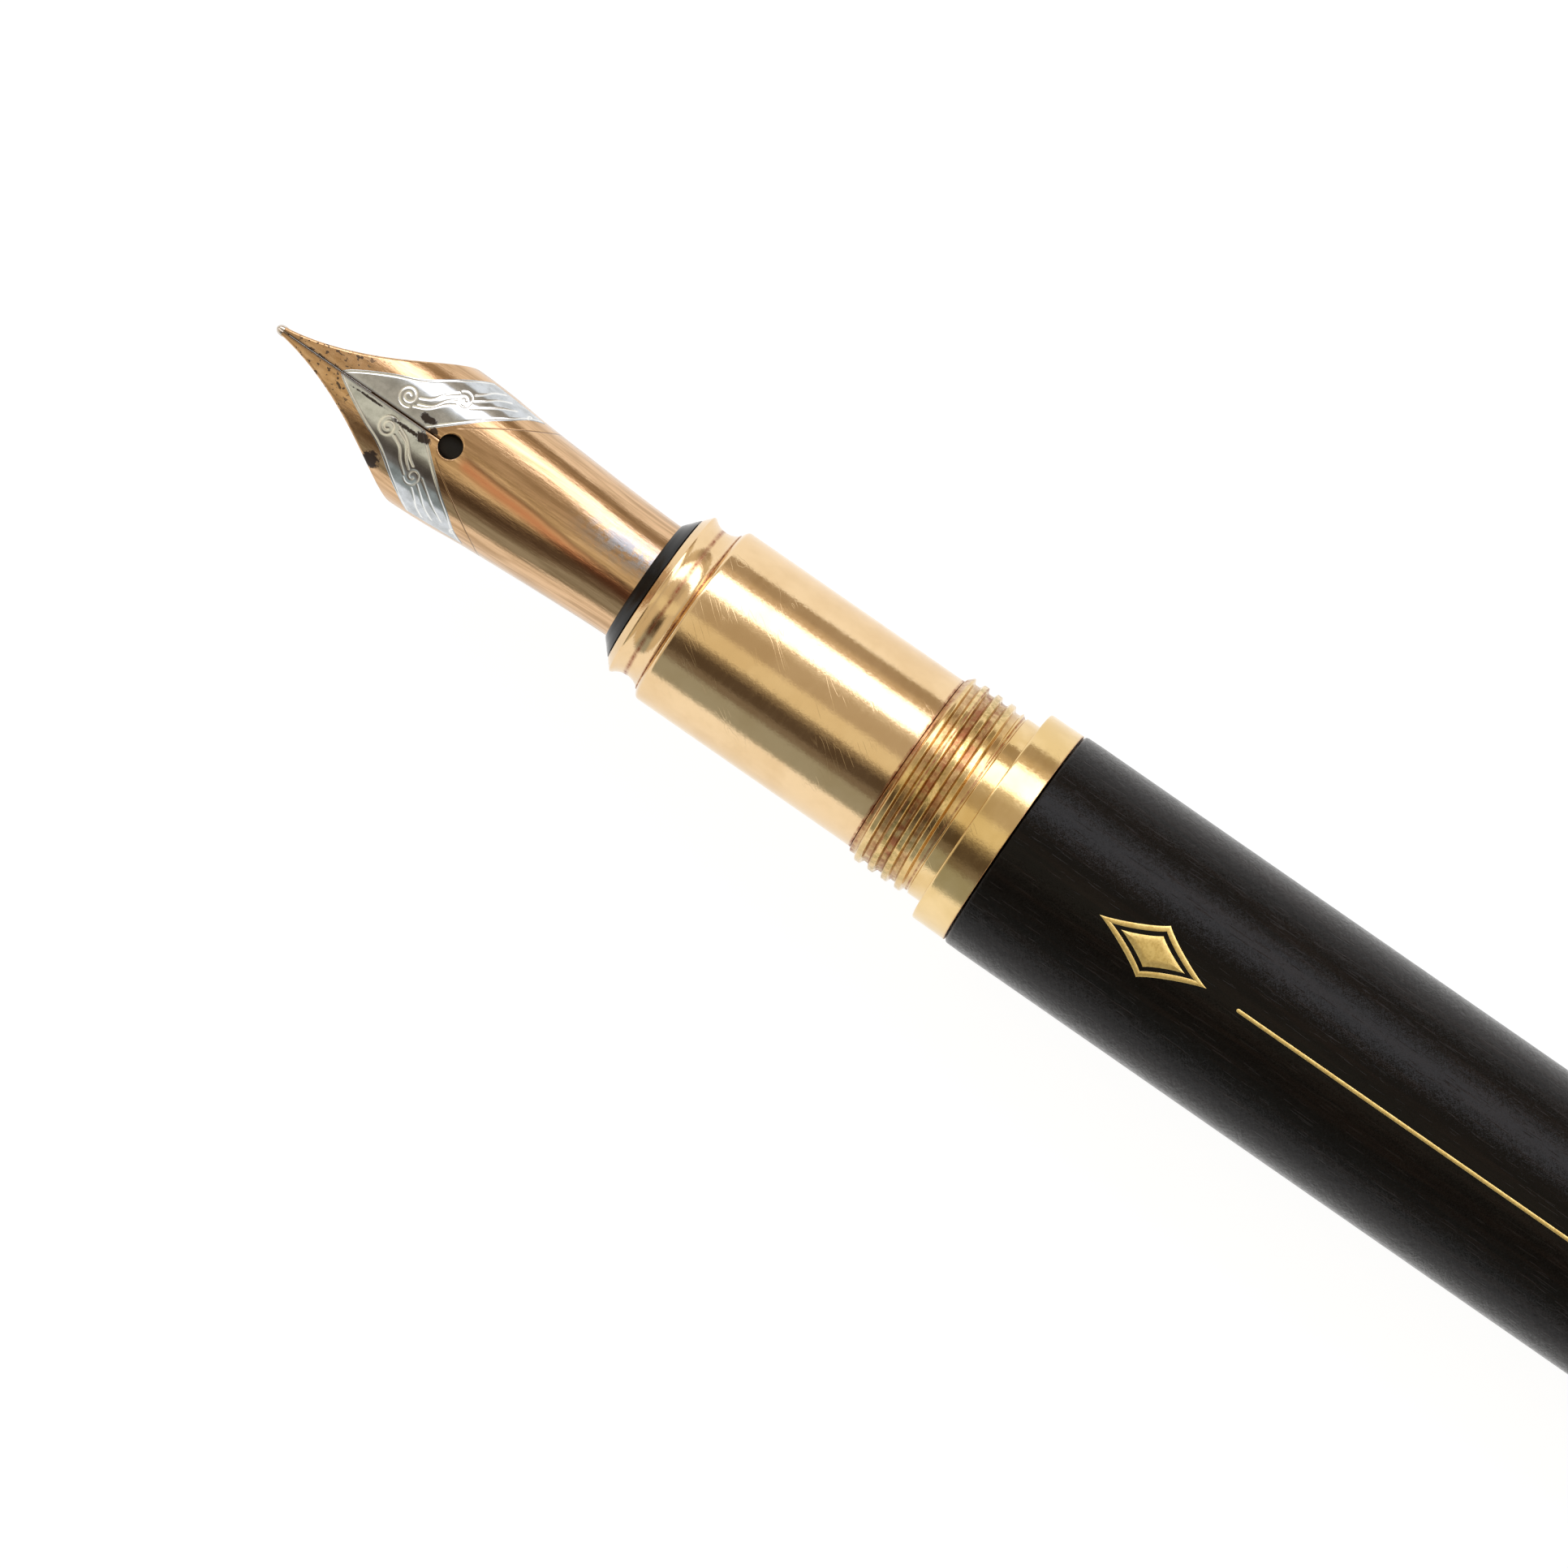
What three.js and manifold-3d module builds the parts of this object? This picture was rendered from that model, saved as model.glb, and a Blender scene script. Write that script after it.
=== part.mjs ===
// A fountain pen with its cap off, lying on its side. Millimetres, +Z up.
// +X runs along the pen to its tail, and the nib points to -X with its top upwards.
// The origin is on the surface under the pen, half way along it.
import * as THREE from 'three';
import { mergeVertices } from 'three/addons/utils/BufferGeometryUtils.js';
import Module from 'manifold-3d';

const wasm = await Module();
wasm.setup();

// Places along the pen, measured from the front face of the wooden barrel.
const TIP_X = -46.6;
const SECTION_X = -22.7;
const CONVERTER_X = -13.6;
const BARREL_LENGTH = 73;
const TAIL_X = 80.6;

// Driving radii.
const BARREL_R = 6.48;
const BARREL_TAIL_R = 6.05;
const GRIP_R = 5.22;
const BRASS_TUBE_R = 5.0;
const SLEEVE_R = 4.55;
const STUB_R = 4.5;
const HOUSING_R = 3.92;
const NIB_TUBE_R = 3.44;
const NIPPLE_R = 1.2;
const INK_TUBE_R = 3.3;
const INK_BORE_R = 2.7;
const CONVERTER_R = 3.6;
const ROD_R = 1.05;

// Clearances: press fits, pieces that slide, and the air round the gold inlays.
const SNUG = 0.05;
const RUNNING = 0.1;
const INLAY_AIR = 0.12;

// Every turned piece has this many flats, and a flat lies at each stated radius.
const SIDES = 24;
const CORNER = 1 / Math.cos(Math.PI / SIDES);

// Turn an outline of [x, radius] points round the pen's axis.
function turned(outline) {
  const points = outline.map(([x, radius]) => new THREE.Vector2(radius * CORNER, x));
  return new THREE.LatheGeometry(points, SIDES, Math.PI / SIDES).rotateZ(-Math.PI / 2);
}

// A turned piece with no bore. Its outline runs from the front to the back.
function turnedSolid(outer) {
  return turned([[outer[0][0], 0], ...outer, [outer.at(-1)[0], 0]]);
}

// A turned piece with a bore. Both outlines run from the front to the back.
function turnedHollow(outer, inner) {
  return turned([...outer, ...inner.toReversed(), outer[0]]);
}

// Steps from a to b, both included.
function steps(a, b, count) {
  return Array.from({ length: count + 1 }, (_, i) => a + ((b - a) * i) / count);
}

function toManifold(geometry) {
  const bare = geometry.clone();
  bare.deleteAttribute('normal');
  bare.deleteAttribute('uv');
  const merged = mergeVertices(bare);
  const index = merged.index.array;
  const triangles = [];
  for (let i = 0; i < index.length; i += 3) {
    const [a, b, c] = index.slice(i, i + 3);
    if (a !== b && b !== c && c !== a) triangles.push(a, b, c);
  }
  return new wasm.Manifold(new wasm.Mesh({
    numProp: 3,
    vertProperties: merged.attributes.position.array,
    triVerts: Uint32Array.from(triangles),
  }));
}

function toGeometry(manifold) {
  const mesh = manifold.getMesh();
  const geometry = new THREE.BufferGeometry();
  const corners = Float32Array.from(mesh.vertProperties);
  geometry.setAttribute('position', new THREE.BufferAttribute(corners, 3));
  geometry.setIndex(Array.from(mesh.triVerts));
  geometry.computeVertexNormals();
  return geometry;
}

function cut(geometry, ...tools) {
  return toGeometry(tools.reduce((rest, tool) => rest.subtract(toManifold(tool)), toManifold(geometry)));
}

function common(a, b) {
  return toGeometry(toManifold(a).intersect(toManifold(b)));
}

// ---------------------------------------------------------------- barrel

const TAPER_START = 40;
const WOOD_BORE_R = BRASS_TUBE_R + SNUG;
const FRONT_ROUND = 0.3;

// Straight at the front, then drawn in by a gentle curve to the tail.
function barrelRadius(x) {
  const along = Math.max(0, (x - TAPER_START) / (BARREL_LENGTH - TAPER_START));
  return BARREL_R - (BARREL_R - BARREL_TAIL_R) * along ** 2;
}

// A ring that follows the barrel's surface, from `low` to `high` above it.
function barrelSkin(x0, x1, low, high) {
  const places = steps(x0, x1, 8);
  const offset = (height) => places.map((x) => [x, barrelRadius(x) + height]);
  return turnedHollow(offset(high), offset(low));
}

// Both gold inlays lie a little to one side of the top, flush with the wood.
const INLAY_Y = -0.76;
const INLAY_DEPTH = 0.3;
const POCKET_DEPTH = 0.42;
const ABOVE = 1;
const INLAY_X = [14.65, 68];
const INLAY_WIDTH = 0.23;
const EMBLEM_X = [6.0, 12.8];
const EMBLEM_WIDTH = 3.3;
const EMBLEM_WAIST = 0.55;

function uprightPrism(shape) {
  const prism = new THREE.ExtrudeGeometry(shape, { depth: 2 * BARREL_R, bevelEnabled: false });
  return prism.translate(0, INLAY_Y, 0);
}

// A four-pointed star with hollow sides, longest along the pen.
function starShape(extra) {
  const middle = (EMBLEM_X[0] + EMBLEM_X[1]) / 2;
  const long = (EMBLEM_X[1] - EMBLEM_X[0]) / 2 + extra;
  const wide = EMBLEM_WIDTH / 2 + extra;
  const points = steps(0, 7, 7).map((corner) => {
    const angle = (corner * Math.PI) / 4;
    const reach = corner % 2 ? EMBLEM_WAIST + extra / long : 1;
    return new THREE.Vector2(middle + long * reach * Math.cos(angle), wide * reach * Math.sin(angle));
  });
  return new THREE.Shape(points);
}

function lineShape(extra) {
  const half = INLAY_WIDTH / 2 + extra;
  return new THREE.Shape([
    new THREE.Vector2(INLAY_X[0] - extra, -half),
    new THREE.Vector2(INLAY_X[1] + extra, -half),
    new THREE.Vector2(INLAY_X[1] + extra, half),
    new THREE.Vector2(INLAY_X[0] - extra, half),
  ]);
}

function woodBarrel() {
  const round = steps(0, Math.PI / 2, 2).map((angle) => [
    FRONT_ROUND * (1 - Math.sin(angle)),
    BARREL_R - FRONT_ROUND * (1 - Math.cos(angle)),
  ]).toReversed();
  const taper = steps(TAPER_START, BARREL_LENGTH, 6).map((x) => [x, barrelRadius(x)]);
  const bore = [[0, WOOD_BORE_R], [BARREL_LENGTH, WOOD_BORE_R]];
  const pockets = [
    common(uprightPrism(starShape(INLAY_AIR)), barrelSkin(4, 14, -POCKET_DEPTH, ABOVE)),
    common(uprightPrism(lineShape(INLAY_AIR)), barrelSkin(14, 69, -POCKET_DEPTH, ABOVE)),
  ];
  return cut(turnedHollow([...round, ...taper], bore), ...pockets);
}

function barrelEmblem() {
  return common(uprightPrism(starShape(0)), barrelSkin(4, 14, -INLAY_DEPTH, 0));
}

function inlayLine() {
  return common(uprightPrism(lineShape(0)), barrelSkin(14, 69, -INLAY_DEPTH, 0));
}

const TUBE_ENDS = [0.25, 72.75];
const TUBE_BORE_R = SLEEVE_R + SNUG;

function brassTube() {
  const ends = (radius) => TUBE_ENDS.map((x) => [x, radius]);
  return turnedHollow(ends(BRASS_TUBE_R), ends(TUBE_BORE_R));
}

// The coupler carries the cap's thread outside and takes the grip section inside.
const COUPLER_FRONT = -6.75;
const COUPLER_BACK = 10;
const THREAD_ROOT_R = 5.4;
const THREAD_CREST_R = 5.66;
const THREAD_PITCH = 0.84;
const THREAD_TURNS = 4;
const THREAD_START = -6.55;
const BAND_START = -3.05;
const BAND_R = 5.5;
const RING_SEAT_R = THREAD_CREST_R;
const COUPLER_BORE_R = STUB_R + RUNNING;
const CONVERTER_PATH_R = 3.95;
const BORE_STEP_X = -0.7;

// The trim ring is pushed over the coupler's seat, up to the wood.
const RING_X = [-2.12, -0.06];

function coupler() {
  const ridges = steps(0, THREAD_TURNS - 1, THREAD_TURNS - 1).flatMap((turn) => {
    const x = THREAD_START + turn * THREAD_PITCH;
    return [[x, THREAD_ROOT_R], [x + THREAD_PITCH / 2, THREAD_CREST_R]];
  });
  const outer = [
    [COUPLER_FRONT, GRIP_R],
    ...ridges,
    [BAND_START - 0.1, THREAD_ROOT_R],
    [BAND_START, BAND_R],
    [RING_X[0], BAND_R],
    [RING_X[0], RING_SEAT_R],
    [-SNUG, RING_SEAT_R],
    [-SNUG, SLEEVE_R],
    [COUPLER_BACK, SLEEVE_R],
  ];
  const inner = [
    [COUPLER_FRONT, COUPLER_BORE_R],
    [BORE_STEP_X, COUPLER_BORE_R],
    [BORE_STEP_X, CONVERTER_PATH_R],
    [COUPLER_BACK, CONVERTER_PATH_R],
  ];
  return turnedHollow(outer, inner);
}

const RING_R = 6.4;
const RING_ROUND = 0.25;

function trimRing() {
  const outer = [
    [RING_X[0], RING_R - RING_ROUND],
    [RING_X[0] + RING_ROUND, RING_R],
    [RING_X[1], RING_R],
  ];
  const bore = RING_X.map((x) => [x, RING_SEAT_R + SNUG]);
  return turnedHollow(outer, bore);
}

// The tail: a plug in the brass tube, whose stud carries a ring and the finial.
const PLUG_FRONT = 67;
const STUD_R = 2.0;
const STUD_BACK = 77;
const TAIL_RING_X = [73.06, 74.6];
const TAIL_RING_R = 6.2;
const FINIAL_FRONT = 74.68;
const FINIAL_R = 5.7;
const FINIAL_FACE_R = 2.6;

function tailPlug() {
  return turnedSolid([
    [PLUG_FRONT, SLEEVE_R],
    [BARREL_LENGTH, SLEEVE_R],
    [BARREL_LENGTH, STUD_R],
    [STUD_BACK, STUD_R],
  ]);
}

function tailRing() {
  const outer = [
    [TAIL_RING_X[0], TAIL_RING_R - 0.2],
    [TAIL_RING_X[0] + 0.2, TAIL_RING_R],
    [TAIL_RING_X[1] - 0.2, TAIL_RING_R],
    [TAIL_RING_X[1], TAIL_RING_R - 0.2],
  ];
  return turnedHollow(outer, TAIL_RING_X.map((x) => [x, STUD_R + RUNNING]));
}

// The finial is a quarter ellipse that ends in a flat face.
function tailFinial() {
  const length = TAIL_X - FINIAL_FRONT;
  const dome = steps(0, Math.PI / 2, 6).map((angle) => [
    FINIAL_FRONT + length * Math.sin(angle),
    FINIAL_FACE_R + (FINIAL_R - FINIAL_FACE_R) * Math.cos(angle),
  ]);
  const holeEnd = STUD_BACK + 3 * RUNNING;
  const outline = [
    ...dome,
    [TAIL_X, 0],
    [holeEnd, 0],
    [holeEnd, STUD_R + RUNNING],
    [FINIAL_FRONT, STUD_R + RUNNING],
    dome[0],
  ];
  return turned(outline);
}

// ---------------------------------------------------------------- grip section
// Measured from the section's front face.

const GRIP_END = 15.85;
const STUB_END = 21.75;
const HOUSING_BORE_R = HOUSING_R + RUNNING;
const HOUSING_BORE_END = 10.1;
const STUB_BORE_R = CONVERTER_R + 0.15;

function gripSection() {
  const lip = [[0, 4.4], [0.2, 4.64], [0.42, 4.84]];
  const groove = [[0.7, 4.68], [0.95, 4.57], [1.25, 4.51], [1.55, 4.54], [1.85, 4.68], [2.1, 4.86]];
  const grip = [[2.35, 5.15], [2.6, GRIP_R], [GRIP_END, GRIP_R]];
  const stub = [[GRIP_END, STUB_R], [STUB_END, STUB_R]];
  const inner = [
    [0, HOUSING_BORE_R],
    [HOUSING_BORE_END, HOUSING_BORE_R],
    [HOUSING_BORE_END, STUB_BORE_R],
    [STUB_END, STUB_BORE_R],
  ];
  return turnedHollow([...lip, ...groove, ...grip, ...stub], inner);
}

// The housing's flange shows in front of the section, and its nipple feeds the converter.
const FLANGE_FRONT = -0.85;
const HOUSING_BACK = 8.9;
const NIB_SEAT_BACK = 8.5;
const NIPPLE_BACK = 13.3;
const NIB_SEAT_R = NIB_TUBE_R + 0.06;
const INK_PASSAGE_R = 0.5;

function nibHousing() {
  const outer = [
    [FLANGE_FRONT, NIB_SEAT_R + 0.15],
    [FLANGE_FRONT + 0.25, 3.95],
    [-0.25, 4.28],
    [-SNUG, 4.36],
    [-SNUG, HOUSING_R],
    [HOUSING_BACK, HOUSING_R],
    [HOUSING_BACK, NIPPLE_R],
    [NIPPLE_BACK, NIPPLE_R],
  ];
  const inner = [
    [FLANGE_FRONT, NIB_SEAT_R],
    [NIB_SEAT_BACK, NIB_SEAT_R],
    [NIB_SEAT_BACK, INK_PASSAGE_R],
    [NIPPLE_BACK, INK_PASSAGE_R],
  ];
  return turnedHollow(outer, inner);
}

// ---------------------------------------------------------------- nib and feed
// Measured back from the tip of the nib, with the pen's axis at z = 0.

const NIB_START = 0.86;
const NIB_END = 32.1;
const NIB_SHEET = 0.4;
const NIB_TUBE_START = 22.9;
const SHOULDER = 10.5;
const NIB_CURVE_R = 4.2;
const TIP_DROP = 1.7;
const DROP_START = 14;
const TUBE_WRAP = THREE.MathUtils.degToRad(115);
const WRAP_START = THREE.MathUtils.degToRad(75.7);
const WRAP_END = 20;
const BREATHER = { back: 11.1, radius: 0.67 };
const SLIT_WIDTH = 0.12;
const PELLET = { radius: 0.3, stretch: 1.35 };

// Half of the nib's width seen from above: hollow edges, a soft shoulder, a slow taper.
function nibHalfWidth(back) {
  const tines = 0.22 + 0.1165 * back ** 1.55;
  const flare = Math.max(0, (NIB_TUBE_START - back) / 12.2) ** 1.25;
  const wings = NIB_TUBE_R + 0.66 * flare;
  return (tines + wings - Math.hypot(tines - wings, 0.15)) / 2;
}

// How far the sheet wraps round to each side of the top.
function nibWrap(back) {
  if (back < SHOULDER) return Math.asin(nibHalfWidth(back) / NIB_CURVE_R);
  const along = Math.min(1, (back - SHOULDER) / (WRAP_END - SHOULDER));
  return WRAP_START + (TUBE_WRAP - WRAP_START) * along;
}

function nibRadius(back) {
  if (back < SHOULDER) return NIB_CURVE_R;
  return nibHalfWidth(back) / Math.sin(Math.min(nibWrap(back), Math.PI / 2));
}

function nibCrest(back) {
  return NIB_TUBE_R - TIP_DROP * Math.max(0, 1 - back / DROP_START) ** 1.6;
}

// A flat block bent over the feed: its length, width and thickness become
// the way back from the tip, the angle from the top and the radius.
function nibSheet() {
  const block = new THREE.BoxGeometry(1, 1, 1, 28, 8, 1);
  const corners = block.attributes.position;
  for (let i = 0; i < corners.count; i += 1) {
    const back = NIB_START + (NIB_END - NIB_START) * (corners.getX(i) + 0.5);
    const angle = 2 * corners.getY(i) * nibWrap(back);
    const radius = nibRadius(back) - NIB_SHEET * (0.5 - corners.getZ(i));
    const height = nibCrest(back) - nibRadius(back) + radius * Math.cos(angle);
    corners.setXYZ(i, back, radius * Math.sin(angle), height);
  }
  return block;
}

function nib() {
  const slit = new THREE.BoxGeometry(BREATHER.back + 1, SLIT_WIDTH, 8);
  slit.translate((BREATHER.back - 1) / 2, 0, 4);
  const hole = new THREE.CylinderGeometry(BREATHER.radius, BREATHER.radius, 8, 16);
  hole.rotateX(Math.PI / 2).translate(BREATHER.back, 0, 4);
  return cut(nibSheet(), slit, hole);
}

function nibTipping() {
  const pellet = new THREE.SphereGeometry(PELLET.radius, 14, 10).rotateZ(Math.PI / 2);
  return pellet.scale(PELLET.stretch, 1, 1);
}

const FEED_NOSE = 6;
const FEED_BACK = 32.2;
const FEED_R = 2.95;
const FEED_FULL = 15;
const FIN_START = 12;
const FIN_COUNT = 9;
const FIN_PITCH = 1.15;
const FIN_SLOT = 0.5;
const SLOT_WAIST = 0.78;

// The feed lies under the nib: thin at its nose, round and full from FEED_FULL back.
function feedStation(back, waist = 1) {
  const along = Math.min(1, (back - FEED_NOSE) / (FEED_FULL - FEED_NOSE));
  const top = nibCrest(back) - NIB_SHEET - 0.09;
  const noseBottom = nibCrest(FEED_NOSE) - NIB_SHEET - 0.6;
  const bottom = THREE.MathUtils.lerp(noseBottom, -FEED_R, along ** 0.8) * waist;
  return { back, halfWidth: (0.5 + (FEED_R - 0.5) * along ** 0.7) * waist, top, bottom };
}

function feedStations() {
  const nose = [6, 6.4, 7.2, 8.4, 10, FIN_START - 0.3].map((back) => feedStation(back));
  const fins = steps(0, FIN_COUNT - 1, FIN_COUNT - 1).flatMap((fin) => {
    const back = FIN_START + fin * FIN_PITCH;
    return [
      feedStation(back),
      feedStation(back + 0.01, SLOT_WAIST),
      feedStation(back + FIN_SLOT, SLOT_WAIST),
      feedStation(back + FIN_SLOT + 0.01),
    ];
  });
  return [...nose, ...fins, feedStation(FEED_BACK)];
}

// A round bar whose rings are moved to the feed's stations and made into ovals.
function feed() {
  const stations = feedStations();
  const last = stations.length - 1;
  const bar = new THREE.CylinderGeometry(1, 1, 1, 16, last);
  const corners = bar.attributes.position;
  for (let i = 0; i < corners.count; i += 1) {
    const { back, halfWidth, top, bottom } = stations[Math.round((0.5 - corners.getY(i)) * last)];
    const height = (top + bottom) / 2 + (corners.getZ(i) * (top - bottom)) / 2;
    corners.setXYZ(i, back, corners.getX(i) * halfWidth, height);
  }
  return bar;
}

// ---------------------------------------------------------------- converter
// Measured from the converter's mouth, which pushes over the housing's nipple.

const MOUTH_END = 4.6;
const CHAMBER_START = 5.0;
const INK_TUBE_BACK = 42.6;
const SEAL_X = [5.3, 8.3];
const ROD_X = [8.35, 40.6];
const GUIDE_X = [30.4, 35.6];
const SCREW_SLEEVE_X = [35.9, 63.6];
const FERRULE_X = [30.6, 44.8];
const KNOB_X = [45.1, 67.6];
const SCREW_SLEEVE_R = 2.4;

function inkTube() {
  const outer = [[0, 2.4], [MOUTH_END, 2.4], [CHAMBER_START + 0.4, INK_TUBE_R], [INK_TUBE_BACK, INK_TUBE_R]];
  const mouthBore = NIPPLE_R + 0.06;
  const inner = [[0, mouthBore], [MOUTH_END, mouthBore], [CHAMBER_START, INK_BORE_R], [INK_TUBE_BACK, INK_BORE_R]];
  return turnedHollow(outer, inner);
}

function pistonSeal() {
  const lipR = INK_BORE_R - SNUG;
  const [front, back] = SEAL_X;
  return turnedSolid([
    [front, 1.4],
    [front, lipR],
    [front + 0.7, lipR],
    [front + 1.1, lipR - 0.35],
    [back - 1.1, lipR - 0.35],
    [back - 0.7, lipR],
    [back, lipR],
  ]);
}

function pistonRod() {
  return turnedSolid(ROD_X.map((x) => [x, ROD_R]));
}

function bush(ends, outerR, boreR) {
  return turnedHollow(ends.map((x) => [x, outerR]), ends.map((x) => [x, boreR]));
}

function converterKnob() {
  const [front, back] = KNOB_X;
  const gripFront = front + 1.4;
  const gripBack = back - 1.2;
  const boreEnd = SCREW_SLEEVE_X[1] + 2 * RUNNING;
  const boreR = SCREW_SLEEVE_R + SNUG;
  return turned([
    [front, 3.35],
    [gripFront - 0.2, 3.35],
    [gripFront, CONVERTER_R],
    [gripBack, CONVERTER_R],
    [back, CONVERTER_R - 0.7],
    [back, 0],
    [boreEnd, 0],
    [boreEnd, boreR],
    [front, boreR],
    [front, 3.35],
  ]);
}

// ---------------------------------------------------------------- assembly

const FINISHES = {
  ebony: { color: 0x17120f, roughness: 0.42, metalness: 0 },
  gold: { color: 0xd9b06c, roughness: 0.22, metalness: 1 },
  brass: { color: 0xb08d4e, roughness: 0.4, metalness: 1 },
  nibGold: { color: 0xcf9a5e, roughness: 0.16, metalness: 1 },
  steel: { color: 0xc9c9cb, roughness: 0.2, metalness: 1 },
  black: { color: 0x0d0d0e, roughness: 0.35, metalness: 0 },
  clear: { color: 0xe8eef0, roughness: 0.08, metalness: 0 },
  rubber: { color: 0x1b1b1c, roughness: 0.7, metalness: 0 },
};

function piece(name, geometry, finish) {
  const mesh = new THREE.Mesh(geometry, new THREE.MeshStandardMaterial(FINISHES[finish]));
  mesh.name = name;
  return mesh;
}

function groupAt(x, ...pieces) {
  const group = new THREE.Group().add(...pieces);
  group.position.x = x;
  return group;
}

const tipping = piece('nib_tipping', nibTipping(), 'steel');
tipping.position.set(PELLET.radius * PELLET.stretch, 0, nibCrest(0) - 0.24);

const barrelPieces = groupAt(
  0,
  piece('wood_barrel', woodBarrel(), 'ebony'),
  piece('brass_tube', brassTube(), 'brass'),
  piece('coupler', coupler(), 'gold'),
  piece('trim_ring', trimRing(), 'gold'),
  piece('barrel_emblem', barrelEmblem(), 'gold'),
  piece('inlay_line', inlayLine(), 'gold'),
  piece('tail_plug', tailPlug(), 'brass'),
  piece('tail_ring', tailRing(), 'gold'),
  piece('tail_finial', tailFinial(), 'gold'),
);

const sectionPieces = groupAt(
  SECTION_X,
  piece('grip_section', gripSection(), 'gold'),
  piece('nib_housing', nibHousing(), 'black'),
);

const nibPieces = groupAt(
  TIP_X,
  piece('nib', nib(), 'nibGold'),
  tipping,
  piece('feed', feed(), 'black'),
);

const sleeveBore = ROD_R + RUNNING;
const converterPieces = groupAt(
  CONVERTER_X,
  piece('ink_tube', inkTube(), 'clear'),
  piece('piston_seal', pistonSeal(), 'rubber'),
  piece('piston_rod', pistonRod(), 'black'),
  piece('rod_guide', bush(GUIDE_X, INK_BORE_R - SNUG, sleeveBore), 'black'),
  piece('screw_sleeve', bush(SCREW_SLEEVE_X, SCREW_SLEEVE_R, sleeveBore), 'black'),
  piece('ferrule', bush(FERRULE_X, CONVERTER_R, INK_TUBE_R + SNUG), 'steel'),
  piece('converter_knob', converterKnob(), 'black'),
);

const pen = new THREE.Group().add(barrelPieces, sectionPieces, nibPieces, converterPieces);
pen.position.set(-(TIP_X + TAIL_X) / 2, 0, BARREL_R);

export default new THREE.Group().add(pen);
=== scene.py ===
"""A fountain pen with its cap off, lying on a white table. Shapes are worked out in millimetres,
measured from the front face of the wooden barrel, on the pen's axis, and put into the frame last."""

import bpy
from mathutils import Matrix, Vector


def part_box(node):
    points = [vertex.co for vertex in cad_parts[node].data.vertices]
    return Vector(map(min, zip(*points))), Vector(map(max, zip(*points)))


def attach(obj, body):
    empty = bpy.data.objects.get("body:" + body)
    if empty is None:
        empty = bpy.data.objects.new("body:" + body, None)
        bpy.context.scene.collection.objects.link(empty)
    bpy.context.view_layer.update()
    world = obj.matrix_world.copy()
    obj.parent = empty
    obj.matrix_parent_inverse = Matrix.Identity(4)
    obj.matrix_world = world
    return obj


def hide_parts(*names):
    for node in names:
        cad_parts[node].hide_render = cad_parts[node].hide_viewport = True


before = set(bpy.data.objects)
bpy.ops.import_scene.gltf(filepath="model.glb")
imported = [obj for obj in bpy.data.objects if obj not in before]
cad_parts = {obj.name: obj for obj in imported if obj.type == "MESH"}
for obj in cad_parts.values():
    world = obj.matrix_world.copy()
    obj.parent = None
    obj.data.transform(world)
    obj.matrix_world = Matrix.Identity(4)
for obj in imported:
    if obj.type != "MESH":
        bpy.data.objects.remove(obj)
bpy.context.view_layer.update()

import math

import bpy
import numpy as np
from mathutils import Matrix, Vector

TURN = 2 * math.pi
DEGREES = 360 / TURN
MM = 0.001
MICRON = 0.000001
SIDES = 192

# The barrel's front face and axis, and where each node starts and ends along the pen.
BARREL_LOW, BARREL_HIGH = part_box("wood_barrel")
FRONT = BARREL_LOW.x
AXIS_HEIGHT = (BARREL_LOW.z + BARREL_HIGH.z) / 2


def span(node):
    """The ends of a node along the pen and its outer radius, in millimetres."""
    low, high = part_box(node)
    return (low.x - FRONT) / MM, (high.x - FRONT) / MM, (high.y - low.y) / 2 / MM


BARREL_LENGTH, BARREL_R = span("wood_barrel")[1:]
TIP = span("nib_tipping")[0]
SECTION_FRONT, SECTION_BACK, GRIP_R = span("grip_section")


# ------------------------ meshes

WELD = 1e-4


def row_faces(rows, columns, closed_rows=False, closed_columns=True):
    """Quads between neighbouring rows and columns of a grid, joined end to end where it is closed."""
    i = np.arange(rows if closed_rows else rows - 1)[:, None]
    k = np.arange(columns if closed_columns else columns - 1)[None, :]
    i2 = (i + 1) % rows
    k2 = (k + 1) % columns
    corners = [i * columns + k, i2 * columns + k, i2 * columns + k2, i * columns + k2]
    return np.stack(np.broadcast_arrays(*corners), -1).reshape(-1, 4)


def welded(points, quads):
    """Merge points in the same place. A quad that loses one side is a triangle, and one that loses
    more is dropped, which closes poles and seams."""
    keys = np.round(points / WELD).astype(np.int64)
    _, first, back = np.unique(keys, axis=0, return_index=True, return_inverse=True)
    corners = back.reshape(-1)[quads]
    kept = corners != np.roll(corners, -1, axis=1)
    sides = kept.sum(1)
    triangles = corners[sides == 3][kept[sides == 3]].reshape(-1, 3)
    return points[first], corners[sides == 4], triangles, first


def signed_volume(points, quads, triangles):
    """A sixth of the sum of the triple products of each face's triangles: positive if faces point out."""
    fans = [triangles, quads[:, [0, 1, 2]], quads[:, [0, 2, 3]]]
    a, b, c = np.moveaxis(points[np.concatenate(fans)], 1, 0)
    return np.einsum("ij,ij->i", a, np.cross(b, c)).sum() / 6


def linked(name, data):
    """A new object in the scene."""
    made = bpy.data.objects.new(name, data)
    bpy.context.scene.collection.objects.link(made)
    return made


def new_mesh(name, points, faces, finish):
    mesh = bpy.data.meshes.new(name)
    mesh.from_pydata(points, [], faces)
    mesh.materials.append(finish)
    return mesh


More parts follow.
